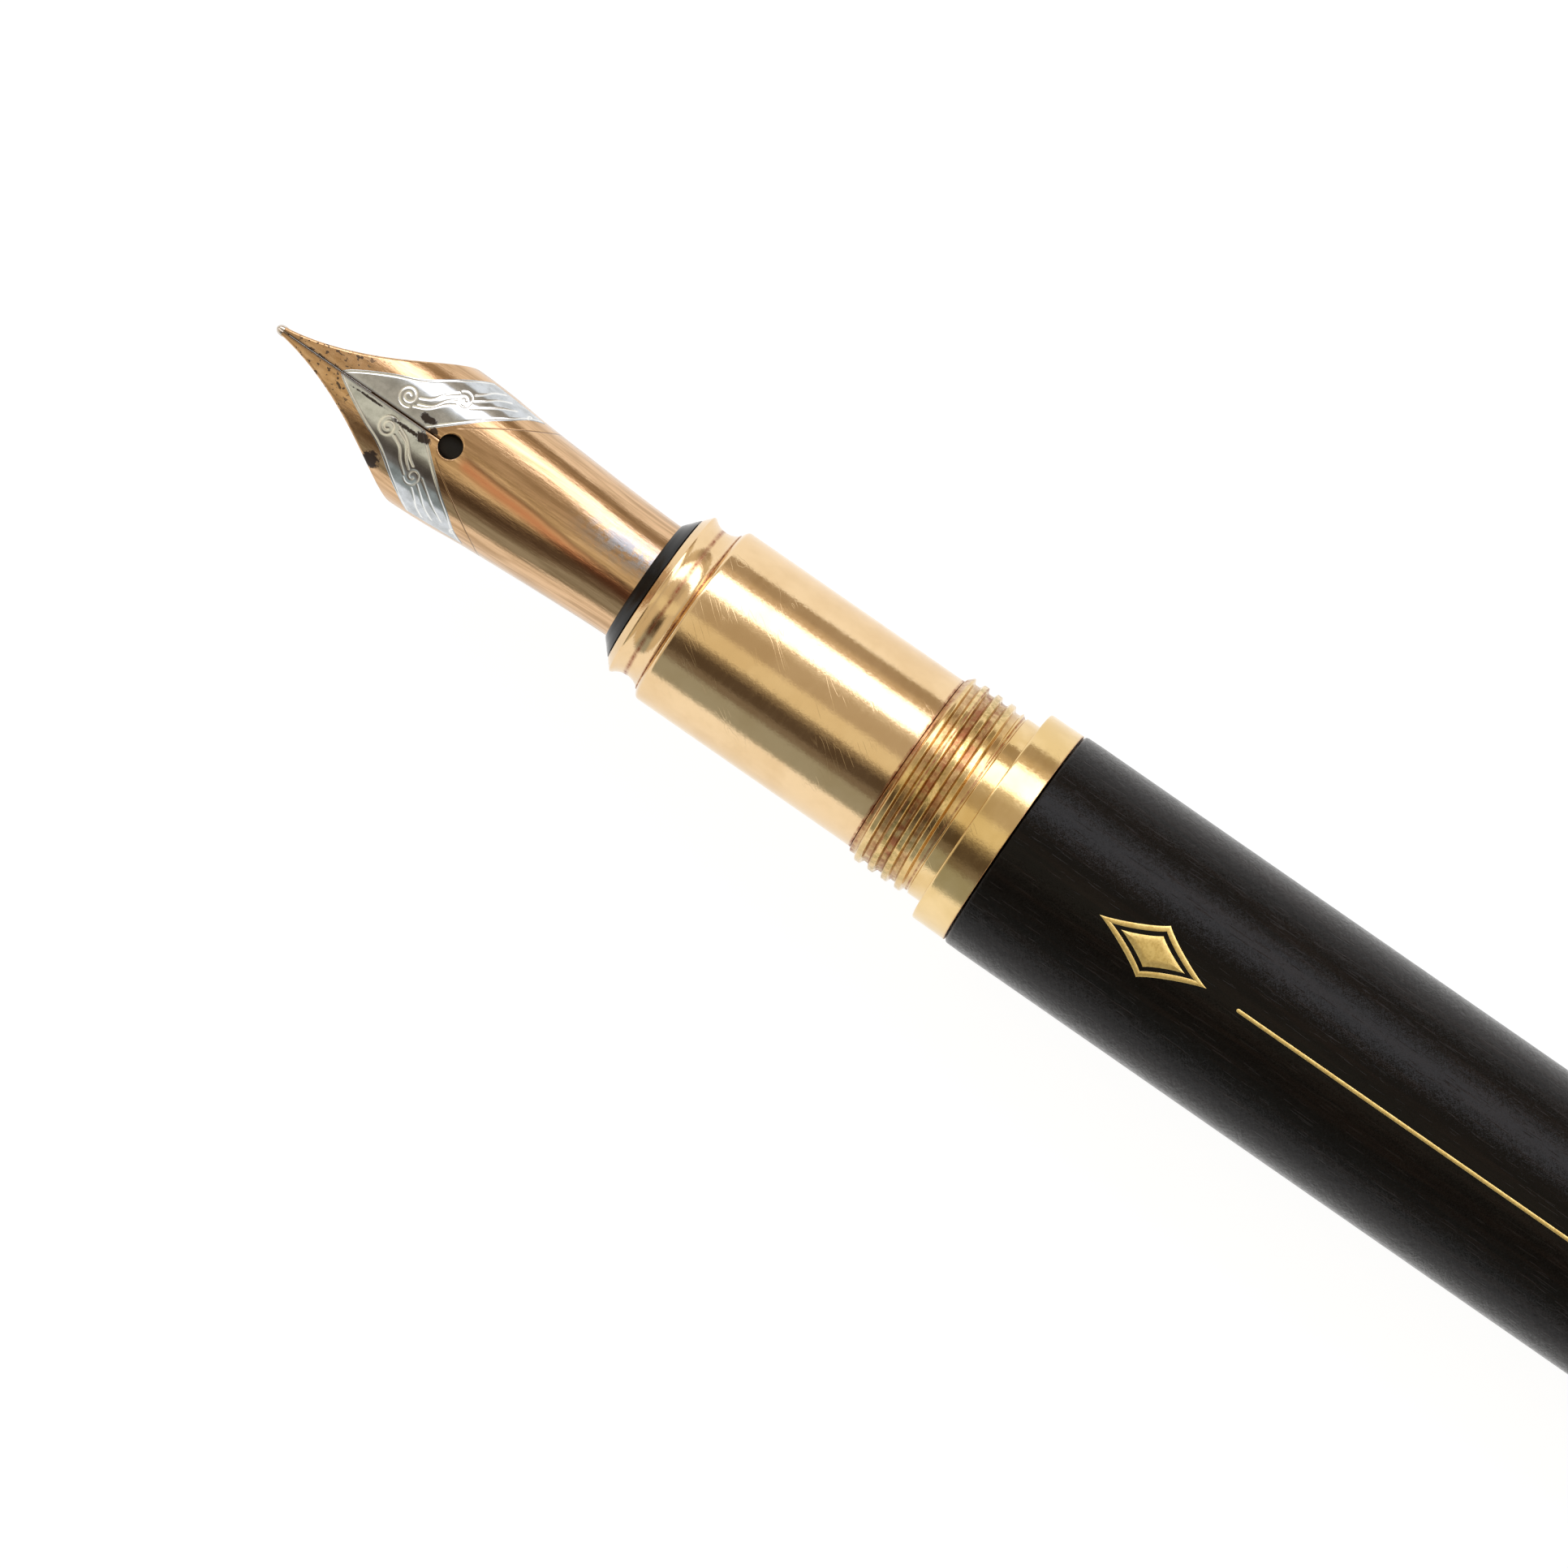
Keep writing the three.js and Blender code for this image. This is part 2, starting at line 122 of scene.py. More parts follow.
def piece(name, parts, finish, body, nodes, marks=None):
    """Make one piece from closed shells, each (points in millimetres, quads), and fix it to the frame.
    marks is a list with one array of values for each shell, kept as the point attribute "mark"."""
    all_points, all_faces, all_marks, start = [], [], [], 0
    for number, (points, quads) in enumerate(parts):
        points, quads, triangles, first = welded(points.reshape(-1, 3), quads)
        if signed_volume(points, quads, triangles) < 0:
            quads = quads[:, ::-1]
            triangles = triangles[:, ::-1]
        all_points.append(points)
        all_faces += (quads + start).tolist() + (triangles + start).tolist()
        if marks is not None:
            all_marks.append(marks[number][first])
        start += len(points)
    placed = np.concatenate(all_points) * MM + [FRONT, 0, AXIS_HEIGHT]
    mesh = new_mesh(name, placed.tolist(), all_faces, finish)
    mesh.shade_smooth()
    if marks is not None:
        attribute = mesh.attributes.new("mark", "FLOAT", "POINT")
        attribute.data.foreach_set("value", np.concatenate(all_marks).astype(np.float32))
    made = linked(name, mesh)
    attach(made, body)
    if nodes:
        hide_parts(*nodes)


# ------------------------ turned shapes

CORNER = 0.07
CORNER_POINTS = 6
SUPPORT = 0.03


def rounded_corner(before, corner, after, radius):
    """A corner replaced by a quadratic curve between two points `radius` away from it, with one more
    point on each side that keeps the flats beside it flat."""
    ahead, behind = before - corner, after - corner
    room = 0.45 * min(np.linalg.norm(ahead), np.linalg.norm(behind))
    cut = min(radius, room)
    ahead = ahead / np.linalg.norm(ahead)
    behind = behind / np.linalg.norm(behind)
    t = np.linspace(0, 1, CORNER_POINTS)[:, None]
    curve = corner + (1 - t) ** 2 * cut * ahead + t ** 2 * cut * behind
    reach = min(cut + SUPPORT, room * 1.05)
    return np.vstack([corner + reach * ahead, curve, corner + reach * behind])


def softened(corners, closed):
    """An outline whose corners are rounded. A corner is (place, radius) or (place, radius, rounding),
    and a rounding of 0 keeps the point as it is."""
    points = [np.array(corner[:2], float) for corner in corners]
    roundings = [corner[2] if len(corner) > 2 else CORNER for corner in corners]
    last = len(points) - 1
    outline = []
    for i, point in enumerate(points):
        if roundings[i] == 0 or (not closed and i in (0, last)):
            outline.append(point[None])
            continue
        after = points[(i + 1) % len(points)]
        outline.append(rounded_corner(points[i - 1], point, after, roundings[i]))
    return np.vstack(outline)


def around(count):
    """Even angles round the pen, as one row."""
    return np.linspace(0, TURN, count, endpoint=False)[None, :]


def turned(outline, sides=SIDES, swell=None):
    """Turn an outline round the pen's axis: each (x, r) becomes the ring (x, r sin a, r cos a).
    swell(x, r, a) adds to the radius. An outline that doesn't end on the axis closes on itself."""
    x, r = np.asarray(outline, float).T[:, :, None]
    angle = around(sides)
    radius = r + (swell(x, r, angle) if swell else 0 * angle)
    points = np.stack([x + 0 * angle, radius * np.sin(angle), radius * np.cos(angle)], -1)
    on_axis = r[0, 0] == 0 and r[-1, 0] == 0
    return points, row_faces(len(r), sides, closed_rows=not on_axis)


def hollow(outer, inner, sides=SIDES, swell=None):
    """A turned piece with a bore: the outer corners from front to back, then the bore's back to front."""
    return turned(softened([*outer, *inner[::-1]], True), sides, swell)


def tube(node, bore_r, sides):
    """A plain tube from one end of a node to the other."""
    front, back, radius = span(node)
    return hollow([(front, radius), (back, radius)], [(front, bore_r), (back, bore_r)], sides)


def solid(outer, sides, swell=None):
    """A turned piece with no bore, closed on the axis at both ends."""
    corners = [(outer[0][0], 0), *outer, (outer[-1][0], 0)]
    return turned(softened(corners, False), sides, swell)


def thread_swell(thread):
    """Height of a single-start thread: a rounded ridge that repeats each pitch and moves by one pitch
    for a turn, fading in and out over a third of a turn at its ends. The bore is left alone."""
    fade_length = 0.3 * thread["pitch"]

    def height(x, r, angle):
        phase = (x / thread["pitch"] + angle / TURN) % 1
        ridge = np.clip(1.75 - 5.0 * np.abs(phase - 0.5), 0, 1)
        ridge = ridge * ridge * (3 - 2 * ridge)
        fade_in = np.clip((x - thread["start"]) / fade_length, 0, 1)
        fade_out = np.clip((thread["end"] - x) / fade_length, 0, 1)
        on_root = r > thread["root"] - 0.02
        return np.where(on_root, thread["depth"] * ridge * (fade_in * fade_out), 0)

    return height


def thread_rows(thread, steps):
    """Outline points close enough together to carry a thread."""
    start, end = thread["start"], thread["end"]
    count = round((end - start) / thread["pitch"] * steps)
    return [(x, thread["root"], 0) for x in np.linspace(start, end, count)]


# ------------------------ shader maths


class Value:
    """A socket that varies over a surface. Its operators add Math nodes."""

    def __init__(self, recipe, socket):
        self.recipe = recipe
        self.socket = socket

    def math(self, operation, first, second=0.0):
        return self.recipe.node("ShaderNodeMath", {"operation": operation}, {0: first, 1: second})

    def __add__(self, other):
        return self.math("ADD", self, other)

    def __sub__(self, other):
        return self.math("SUBTRACT", self, other)

    def __mul__(self, other):
        return self.math("MULTIPLY", self, other)

    def __truediv__(self, other):
        return self.math("DIVIDE", self, other)

    def __rsub__(self, other):
        return self.math("SUBTRACT", other, self)

    def __pow__(self, other):
        return self.math("POWER", self, other)

    def __abs__(self):
        return self.math("ABSOLUTE", self)

    __radd__ = __add__


class Recipe:
    """The node tree of a material or world, with short ways to the nodes and patterns used here."""

    def __init__(self, owner):
        owner.use_nodes = True
        self.owner = owner
        self.tree = owner.node_tree
        self.tree.nodes.clear()

    def node(self, kind, settings=None, sockets=None, output=0):
        made = self.tree.nodes.new(kind)
        for key, value in (settings or {}).items():
            setattr(made, key, value)
        for key, value in (sockets or {}).items():
            value = value.socket if isinstance(value, Value) else value
            if isinstance(value, bpy.types.NodeSocket):
                self.tree.links.new(value, made.inputs[key])
            else:
                made.inputs[key].default_value = value
        return Value(self, made.outputs[output]) if made.outputs else None

    def point(self):
        """The place on the pen in millimetres from the barrel's front face and the axis."""
        place = self.node("ShaderNodeTexCoord", output=3)
        corner = (FRONT, 0, AXIS_HEIGHT)
        moved = self.node("ShaderNodeVectorMath", {"operation": "SUBTRACT"}, {0: place, 1: corner})
        return self.stretched(moved, (1000, 1000, 1000))

    def axes(self, point):
        """The point's x, y and z."""
        x = self.node("ShaderNodeSeparateXYZ", {}, {0: point})
        return [Value(self, socket) for socket in x.socket.node.outputs]

    def stretched(self, point, factors):
        return self.node("ShaderNodeVectorMath", {"operation": "MULTIPLY"}, {0: point, 1: factors})

    def noise(self, point, scale, detail, rough=0.5):
        sockets = {"Vector": point, "Scale": scale, "Detail": detail, "Roughness": rough}
        return self.node("ShaderNodeTexNoise", {}, sockets)

    def grain(self, point, along, across, detail, rough=0.5):
        """Noise squeezed along the pen and across it by two factors."""
        return self.noise(self.stretched(point, (along, across, across)), 1.0, detail, rough)

    def cells(self, point, scale):
        return self.node("ShaderNodeTexVoronoi", {}, {"Vector": point, "Scale": scale})

    def step(self, value, low, high):
        """0 below low, 1 above high, with a smooth rise. With low above high, it falls instead."""
        if low > high:
            return 1 - self.step(value, high, low)
        sockets = {"Value": value, "From Min": low, "From Max": high}
        settings = {"interpolation_type": "SMOOTHSTEP"}
        return self.node("ShaderNodeMapRange", settings, sockets)

    def hill(self, value, middle, half):
        """1 at the middle, falling smoothly to 0 at `half` to each side."""
        return self.step(abs(value - middle), half, 0.0)

    def mix(self, share, first, second):
        first, second = [(*c, 1) if isinstance(c, tuple) else c for c in (first, second)]
        return self.node("ShaderNodeMix", {"data_type": "RGBA"}, {0: share, 6: first, 7: second}, 2)

    def bump(self, height, microns, strength):
        sockets = {"Height": height, "Distance": microns * MICRON, "Strength": strength}
        return self.node("ShaderNodeBump", {}, sockets)

    def angle(self, axes):
        """The angle round the axis in degrees, from the top towards +Y."""
        return self.node("ShaderNodeMath", {"operation": "ARCTAN2"}, {0: axes[1], 1: axes[2]}) * DEGREES


def new_finish(name):
    """A new material's recipe, and the place on the pen that its patterns depend on."""
    recipe = Recipe(bpy.data.materials.new(name))
    return recipe, recipe.point()


def finished(recipe, colour, rough, relief, others):
    """Join the surface shader to the material's output. `relief` is (height, depth in thousandths
    of a millimetre, strength) or None, and `others` holds the shader's other sockets."""
    sockets = {"Base Color": colour, "Roughness": rough, **others}
    if relief:
        sockets["Normal"] = recipe.bump(*relief)
    shader = recipe.node("ShaderNodeBsdfPrincipled", {}, sockets)
    recipe.node("ShaderNodeOutputMaterial", {}, {"Surface": shader})
    return recipe.owner


# ------------------------ finishes

RESIDUE = (0.30, 0.095, 0.045)
TARNISH = (0.36, 0.25, 0.08)
VERDIGRIS = (0.33, 0.29, 0.10)
THREAD = {"root": 5.40, "depth": 0.26, "pitch": 0.84, "start": -6.68, "end": -3.12}


def polish_marks(recipe, point, along=5.5):
    """Marks left by polishing in a lathe: noise squeezed along the pen and drawn out round it, with
    a fine grit that is almost even both ways."""
    fine = recipe.grain(point, along, 0.5, 4.0, 0.65)
    broad = recipe.grain(point, along * 0.22, 0.25, 2.0)
    grit = recipe.grain(point, 5.0, 3.2, 3.0, 0.75)
    return fine * 0.4 + broad * 0.15 + grit * 0.45


def pits(recipe, point, scale, share):
    """Small dots in a few of the cells of a fine pattern, 1 in the dots."""
    near = recipe.step(recipe.cells(point, scale), 0.2, 0.08)
    chosen = recipe.step(recipe.noise(point, scale * 0.37, 1.0), 1 - share, 1.02 - share)
    return near * chosen


def scratches(recipe, point, turn):
    """A few hair-thin lines: where a slow noise, stretched one way, crosses its middle value."""
    width = 0.012
    settings = {"rotation_type": "Z_AXIS"}
    turned_point = recipe.node("ShaderNodeVectorRotate", settings, {"Vector": point, "Angle": turn})
    field = recipe.noise(recipe.stretched(turned_point, (0.12, 2.4, 1.4)), 1.0, 1.0)
    kept = recipe.step(recipe.noise(point, 0.45, 1.0), 0.56, 0.62)
    return recipe.step(abs(field - 0.5), width, 0.0) * kept


def tarnished(recipe, point, colour, rough, low, high):
    """Age a turned piece between two places along the pen: brown blotches, dried ink at the root
    of its thread, and a green tinge."""
    x, y, z = recipe.axes(point)
    inside = recipe.hill(x, (low + high) / 2, (high - low) / 1.6)
    blotches = recipe.step(recipe.noise(point, 1.9, 5.0, 0.7), 0.42, 0.62) * inside
    colour = recipe.mix(blotches * 0.75, colour, TARNISH)
    root = recipe.step((y * y + z * z) ** 0.5, THREAD["root"] + 0.12, THREAD["root"] + 0.02) * inside
    worn = recipe.step(recipe.noise(point, 1.3, 4.0, 0.7), 0.36, 0.6)
    colour = recipe.mix(root * (0.3 + worn * 0.6), colour, RESIDUE)
    green = recipe.step(recipe.noise(point, 3.1, 4.0, 0.7), 0.5, 0.66) * inside
    return recipe.mix(green * 0.55, colour, VERDIGRIS), rough + blotches * 0.16 + root * 0.2


def turned_gold(name, base, deep, roughness, residue_at, tarnish_span=None):
    """Polished gold plate on a turned piece: marks round the axis, pits, scratches, and dried ink
    in the places named by residue_at, each (middle, reach)."""
    recipe, point = new_finish(name)
    marks = polish_marks(recipe, point)
    clouds = recipe.noise(point, 0.32, 3.0, 0.6)
    dots = pits(recipe, point, 3.1, 0.16)
    lines = scratches(recipe, point, 0.7)
    colour = recipe.mix(recipe.step(clouds, 0.35, 0.7), base, deep)
    rough = roughness + (marks - 0.5) * 0.42 + dots * 0.25 + lines * 0.12
    if tarnish_span:
        colour, rough = tarnished(recipe, point, colour, rough, *tarnish_span)
    colour = recipe.mix(dots * 0.55, colour, (0.3, 0.19, 0.09))
    x = recipe.axes(point)[0]
    for middle, reach in residue_at:
        patchy = recipe.step(recipe.noise(point, 2.3, 5.0, 0.72), 0.3, 0.68)
        stain = recipe.hill(x, middle, reach) * (0.25 + patchy * 0.75)
        colour = recipe.mix(stain, colour, RESIDUE)
        rough = rough + stain * 0.3
    height = marks * 0.6 - dots * 0.25 - lines * 0.07
    return finished(recipe, colour, rough, (height, 40, 0.6), {"Metallic": 1.0})


# Dried ink on the nib: (back from the tip, side, reach along, reach across).
SMUDGES = [
    (7.95, -2.85, 0.55, 0.45), (9.35, 0.52, 0.55, 0.26), (9.7, -0.45, 0.5, 0.3),
    (8.6, -0.5, 1.0, 0.13), (9.95, 0.18, 0.25, 0.2), (6.2, -0.3, 1.1, 0.08),
]


def nib_metal(name):
    """Rose-tinted gold, drawn lengthwise, with a copper streak behind the hole, a blue-grey stain
    near the housing, dark specks at the tip, ink beside the slit, and a fine line engraved behind
    each plated panel."""
    recipe, point = new_finish(name)
    x, y, z = recipe.axes(point)
    back = x - TIP
    angle = recipe.angle((x, y, z))
    drawn = recipe.grain(point, 0.16, 3.2, 4.0, 0.6)
    fine = recipe.grain(point, 1.1, 7.0, 4.0, 0.7)
    mottle = recipe.noise(point, 2.2, 4.0, 0.65)
    colour = recipe.mix(recipe.step(drawn, 0.35, 0.68), (0.71, 0.47, 0.275), (0.47, 0.295, 0.155))
    tip_zone = recipe.step(back, 8.5, 3.5)
    colour = recipe.mix(tip_zone * recipe.step(mottle, 0.35, 0.7) * 0.55, colour, (0.5, 0.29, 0.13))
    wander = (recipe.grain(point, 0.35, 0, 2.0) - 0.5) * 4
    from_streak = angle + wander + (back - 11.8) * 1.15 + 6.5
    behind_hole = recipe.step(back, 11.7, 12.4)
    colour = recipe.mix(recipe.hill(from_streak, 6.2, 4.0) * behind_hole * 0.7, colour, (0.2, 0.1, 0.05))
    streak = recipe.hill(from_streak, 0.0, 8.5) * behind_hole
    colour = recipe.mix(streak * 0.95, colour, (0.60, 0.26, 0.135))
    stain = recipe.hill(angle, 15.0, 24.0) * recipe.step(back, 17.5, 21.5)
    stain = stain * recipe.step(recipe.noise(point, 1.5, 5.0, 0.75), 0.36, 0.58)
    colour = recipe.mix(stain * 0.85, colour, (0.30, 0.34, 0.40))
    specks = recipe.step(recipe.grain(point, 3.2, 5.0, 2.0), 0.58, 0.63)
    specks = specks * recipe.step(back, 6.6, 4.6) * recipe.step(back, 0.9, 1.6)
    side = abs(y)
    from_border = abs(back - side * 1.25 - side * side * 0.07 - 9.55)
    engraved = recipe.step(from_border, 0.075, 0.02) * recipe.step(side, 0.8, 1.2)
    colour = recipe.mix(engraved * 0.7, colour, (0.16, 0.09, 0.05))
    beside_slit = recipe.step(side, 0.16, 0.045) * recipe.step(back, 10.4, 9.6)
    smudges = ink_smudges(recipe, back, y, point)
    ink = 1 - (1 - specks * 0.9) * (1 - beside_slit * 0.75) * (1 - smudges)
    colour = recipe.mix(ink, colour, (0.035, 0.018, 0.01))
    rough = 0.13 + (drawn - 0.5) * 0.28 + (fine - 0.5) * 0.3
    rough = rough + ink * 0.25 + stain * 0.2 + tip_zone * 0.1
    relief = (drawn * 0.3 + fine * 0.4 + mottle * 0.35 - engraved * 0.6, 30, 0.6)
    return finished(recipe, colour, rough, relief, {"Metallic": 1 - ink * 0.7})


def ink_smudges(recipe, back, side, point):
    """Ragged oval patches. What stays clear of them all is multiplied together."""
    ragged = (recipe.noise(point, 3.2, 5.0, 0.75) - 0.5) * 2.2
    clear = None
    for middle, across, long, wide in SMUDGES:
        along = (back - middle) / long
        aside = (side - across) / wide
        distance = (along * along + aside * aside) ** 0.5
        patch = recipe.step(distance + ragged, 1.05, 0.7)
        clear = 1 - patch if clear is None else clear * (1 - patch)
    return 1 - clear


def plating(name):
    """Silver-white plating, hazy from use and rougher in the cut lines, which are painted near white as a
    painted highlight.
    """
    recipe, point = new_finish(name)
    x, y, _ = recipe.axes(point)
    haze = recipe.noise(point, 1.4, 5.0, 0.65)
    drawn = recipe.grain(point, 0.6, 6.0, 3.0, 0.6)
    cut_line = recipe.node("ShaderNodeAttribute", {"attribute_name": "mark"}, {}, 2)
    colour = recipe.mix(recipe.step(haze, 0.35, 0.7), (0.62, 0.65, 0.68), (0.44, 0.46, 0.47))
    # Painted highlight: the cut lines are painted near white, standing in for the glint of the engraving.
    colour = recipe.mix(cut_line * 0.9, colour, (0.97, 0.97, 0.94))
    beside_slit = recipe.step(abs(y), 0.2, 0.07)
    ink = 1 - (1 - beside_slit * 0.7) * (1 - ink_smudges(recipe, x - TIP, y, point))
    colour = recipe.mix(ink, colour, (0.03, 0.02, 0.015))
    rough = 0.09 + haze * 0.1 + (drawn - 0.5) * 0.1 + cut_line * 0.16 + ink * 0.2
    return finished(recipe, colour, rough, (drawn, 4, 0.3), {"Metallic": 1 - ink * 0.6})


def ebony(name):
    """Near-black wood: long fine pores, a slow cross figure, and a thin oil finish that breaks its
    highlights up into short marks across the grain."""
    recipe, point = new_finish(name)
    grain = recipe.grain(point, 0.12, 2.6, 5.0, 0.6)
    pore_field = recipe.grain(point, 0.55, 9.0, 2.0, 0.5)
    pores = recipe.step(pore_field, 0.62, 0.72)
    figure = recipe.grain(point, 1.1, 0.5, 4.0, 0.6)
    speckle = recipe.grain(point, 5.2, 1.3, 4.0, 0.75)
    colour = recipe.mix(recipe.step(grain, 0.4, 0.72), (0.0020, 0.0014, 0.0012), (0.0062, 0.0034, 0.0024))
    colour = recipe.mix(pores * 0.3, colour, (0.018, 0.010, 0.007))
    rough = 0.10 + figure * 0.07 + pores * 0.08 + (speckle - 0.5) * 0.3
    relief = (grain * 0.1 - pores * 0.15 + speckle * 1.3 + figure * 0.3, 90, 0.6)
    return finished(recipe, colour, rough, relief, {"Specular IOR Level": 0.15})


def inlay_gold(name):
    """Satin gold leaf with small nicks."""
    recipe, point = new_finish(name)
    grain = recipe.noise(point, 5.0, 4.0, 0.7)
    nicks = pits(recipe, point, 5.0, 0.3)
    colour = recipe.mix(recipe.step(grain, 0.35, 0.7), (0.86, 0.66, 0.27), (0.66, 0.47, 0.16))
    colour = recipe.mix(nicks * 0.8, colour, (0.16, 0.1, 0.05))
    rough = 0.36 + grain * 0.16 + nicks * 0.2
    return finished(recipe, colour, rough, (grain - nicks, 8, 0.5), {"Metallic": 0.92})


def moulded(name, light, dark, roughness, grain_size=1.6, dusty=0.0, shine=0.5):
    """Moulded plastic or rubber: a soft grain, fine dust, and rubbed spots."""
    recipe, point = new_finish(name)
    clouds = recipe.noise(point, grain_size, 4.0, 0.6)
    grain = recipe.noise(point, grain_size * 9, 3.0, 0.6)
    dust = pits(recipe, point, 6.0, 0.25)
    colour = recipe.mix(recipe.step(clouds, 0.35, 0.7), dark, light)
    colour = recipe.mix(dust * (0.3 + dusty), colour, (0.2, 0.18, 0.15))
    rough = roughness + (clouds - 0.5) * 0.18 + dust * 0.2
    relief = (grain + clouds, 8, 0.4)
    return finished(recipe, colour, rough, relief, {"Specular IOR Level": shine})


def plain_metal(name, base, deep, roughness, along=9.0):
    """Turned metal that isn't plated: tool marks round the axis and dull clouds."""
    recipe, point = new_finish(name)
    marks = polish_marks(recipe, point, along)
    clouds = recipe.noise(point, 0.7, 4.0, 0.6)
    dots = pits(recipe, point, 3.4, 0.2)
    colour = recipe.mix(recipe.step(clouds, 0.35, 0.7), base, deep)
    colour = recipe.mix(dots * 0.4, colour, (0.2, 0.15, 0.1))
    rough = roughness + (marks - 0.5) * 0.25 + dots * 0.2
    return finished(recipe, colour, rough, (marks, 6, 0.4), {"Metallic": 1.0})


def clear_tube(name):
    """Clear plastic with faint moulding flow and a breath of ink on its wall."""
    recipe, point = new_finish(name)
    flow = recipe.grain(point, 0.3, 1.6, 3.0)
    stain = recipe.step(recipe.noise(point, 0.8, 5.0, 0.7), 0.52, 0.7)
    colour = recipe.mix(stain * 0.3, (0.93, 0.96, 0.97), (0.55, 0.62, 0.72))
    rough = 0.04 + flow * 0.06 + stain * 0.1
    others = {"Transmission Weight": 0.92, "IOR": 1.49}
    return finished(recipe, colour, rough, (flow, 20, 0.2), others)


GRIP_GOLD = turned_gold(
    "grip_gold", (0.82, 0.60, 0.35), (0.75, 0.53, 0.29), 0.12,
    [(-6.83, 0.14), (-20.62, 0.10), (-21.5, 0.2)],
)
COUPLER_GOLD = turned_gold(
    "coupler_gold", (0.82, 0.61, 0.32), (0.70, 0.48, 0.20), 0.11,
    [(-6.7, 0.4), (-5.5, 0.10), (-3.15, 0.10)], (-6.7, -3.1),
)
RING_GOLD = turned_gold("ring_gold", (0.83, 0.62, 0.32), (0.74, 0.53, 0.24), 0.14, [(-0.06, 0.1)])
NIB_GOLD = nib_metal("nib_gold")
NIB_PLATING = plating("nib_plating")
EBONY = ebony("ebony_oiled")
INLAY_GOLD = inlay_gold("inlay_gold")
HOUSING_BLACK = moulded(
    "housing_black", (0.004, 0.0034, 0.003), (0.0016, 0.0014, 0.0013), 0.14, shine=0.2,
)
FEED_BLACK = moulded("feed_black", (0.008, 0.006, 0.005), (0.004, 0.003, 0.003), 0.4, 1.2, 0.1, 0.25)
KNOB_BLACK = moulded("knob_black", (0.026, 0.025, 0.025), (0.012, 0.012, 0.012), 0.4)
SEAL_RUBBER = moulded("seal_rubber", (0.035, 0.034, 0.033), (0.018, 0.018, 0.018), 0.62)
PELLET_METAL = plain_metal("pellet_metal", (0.72, 0.66, 0.60), (0.55, 0.48, 0.42), 0.16, 3.0)
LINER_BRASS = plain_metal("liner_brass", (0.72, 0.52, 0.22), (0.55, 0.38, 0.15), 0.34)
CHROME = plain_metal("ferrule_chrome", (0.72, 0.72, 0.73), (0.62, 0.62, 0.64), 0.14)
CLEAR = clear_tube("clear_plastic")


# ------------------------ barrel

TAPER_START = 40.0
TAIL_WOOD_R = 6.05
PRESS_FIT = 0.05
LINER_R = span("brass_tube")[2]
LINER_BORE_R = 4.6
SLEEVE_R = 4.55


def barrel_radius(x):
    """Straight at the front, then drawn in by the square of the way to the tail."""
    along = np.clip((np.asarray(x, float) - TAPER_START) / (BARREL_LENGTH - TAPER_START), 0, None)
    return BARREL_R - (BARREL_R - TAIL_WOOD_R) * along ** 2


def make_wood():
    straight = [(x, BARREL_R, 0) for x in np.linspace(1.0, TAPER_START, 40)]
    taper = [(x, barrel_radius(x), 0) for x in np.linspace(TAPER_START, BARREL_LENGTH - 0.4, 34)[1:]]
    outer = [(0, BARREL_R - 0.02, 0.22), *straight, *taper, (BARREL_LENGTH, TAIL_WOOD_R, 0.15)]
    bore_r = LINER_R + PRESS_FIT
    shell = hollow(outer, [(0, bore_r), (BARREL_LENGTH, bore_r)])
    piece("wood_tube", [shell], EBONY, "barrel", ["wood_barrel"])


def make_liner():
    shell = tube("brass_tube", LINER_BORE_R, 128)
    piece("brass_liner", [shell], LINER_BRASS, "barrel", ["brass_tube"])


INLAY_SIDE = -0.76
INLAY_TURN = math.asin(INLAY_SIDE / BARREL_R)
INLAY_PROUD = 0.012
INLAY_DEEP = 0.2


def on_barrel(x, across, height):
    """A point on the barrel: x along it, `across` as an arc from the inlays' middle, `height` above it."""
    angle = INLAY_TURN + across / BARREL_R
    radius = barrel_radius(x) + height
    return np.stack([x, radius * np.sin(angle), radius * np.cos(angle)], -1)


def plate_section(inner, outer, scale):
    """A plate's section from its inner to its outer edge, as (reach, height) round a closed loop.
    Reach is a share of the plate's outline; scale is its size in millimetres."""
    edge = 0.035 / scale
    top = [(inner + edge, INLAY_PROUD), ((inner + outer) / 2, INLAY_PROUD), (outer - edge, INLAY_PROUD)]
    right = [(outer, INLAY_PROUD - 0.03), (outer, -INLAY_DEEP)]
    left = [(inner, -INLAY_DEEP), (inner, INLAY_PROUD - 0.03)]
    if inner == 0:
        top = [(0, INLAY_PROUD), *top[1:]]
        left = [(0, -INLAY_DEEP)]
    return np.array(top + right + left).T


def star_shell(inner, outer, middle, half_long, half_wide):
    """A plate in the shape of a four-pointed star: the outline's cosine and sine are each raised to
    a power, which draws its sides in."""
    reach, height = plate_section(inner, outer, half_wide)
    phi = around(288)
    power = 2.3
    along = np.sign(np.cos(phi)) * np.abs(np.cos(phi)) ** power * half_long
    across = np.sign(np.sin(phi)) * np.abs(np.sin(phi)) ** power * half_wide
    x = middle + reach[:, None] * along
    points = on_barrel(x, reach[:, None] * across, height[:, None] + 0 * x)
    return points, row_faces(len(reach), phi.size, closed_rows=inner > 0)


def make_emblem():
    """A plain star ornament: a thin star outline with a smaller star inside it."""
    front, back, half_wide = span("barrel_emblem")
    middle = (front + back) / 2
    size = (middle, (back - front) / 2, half_wide)
    shells = [star_shell(0.76, 1.0, *size), star_shell(0.0, 0.6, *size)]
    piece("star_ornament", shells, INLAY_GOLD, "barrel", ["barrel_emblem"])


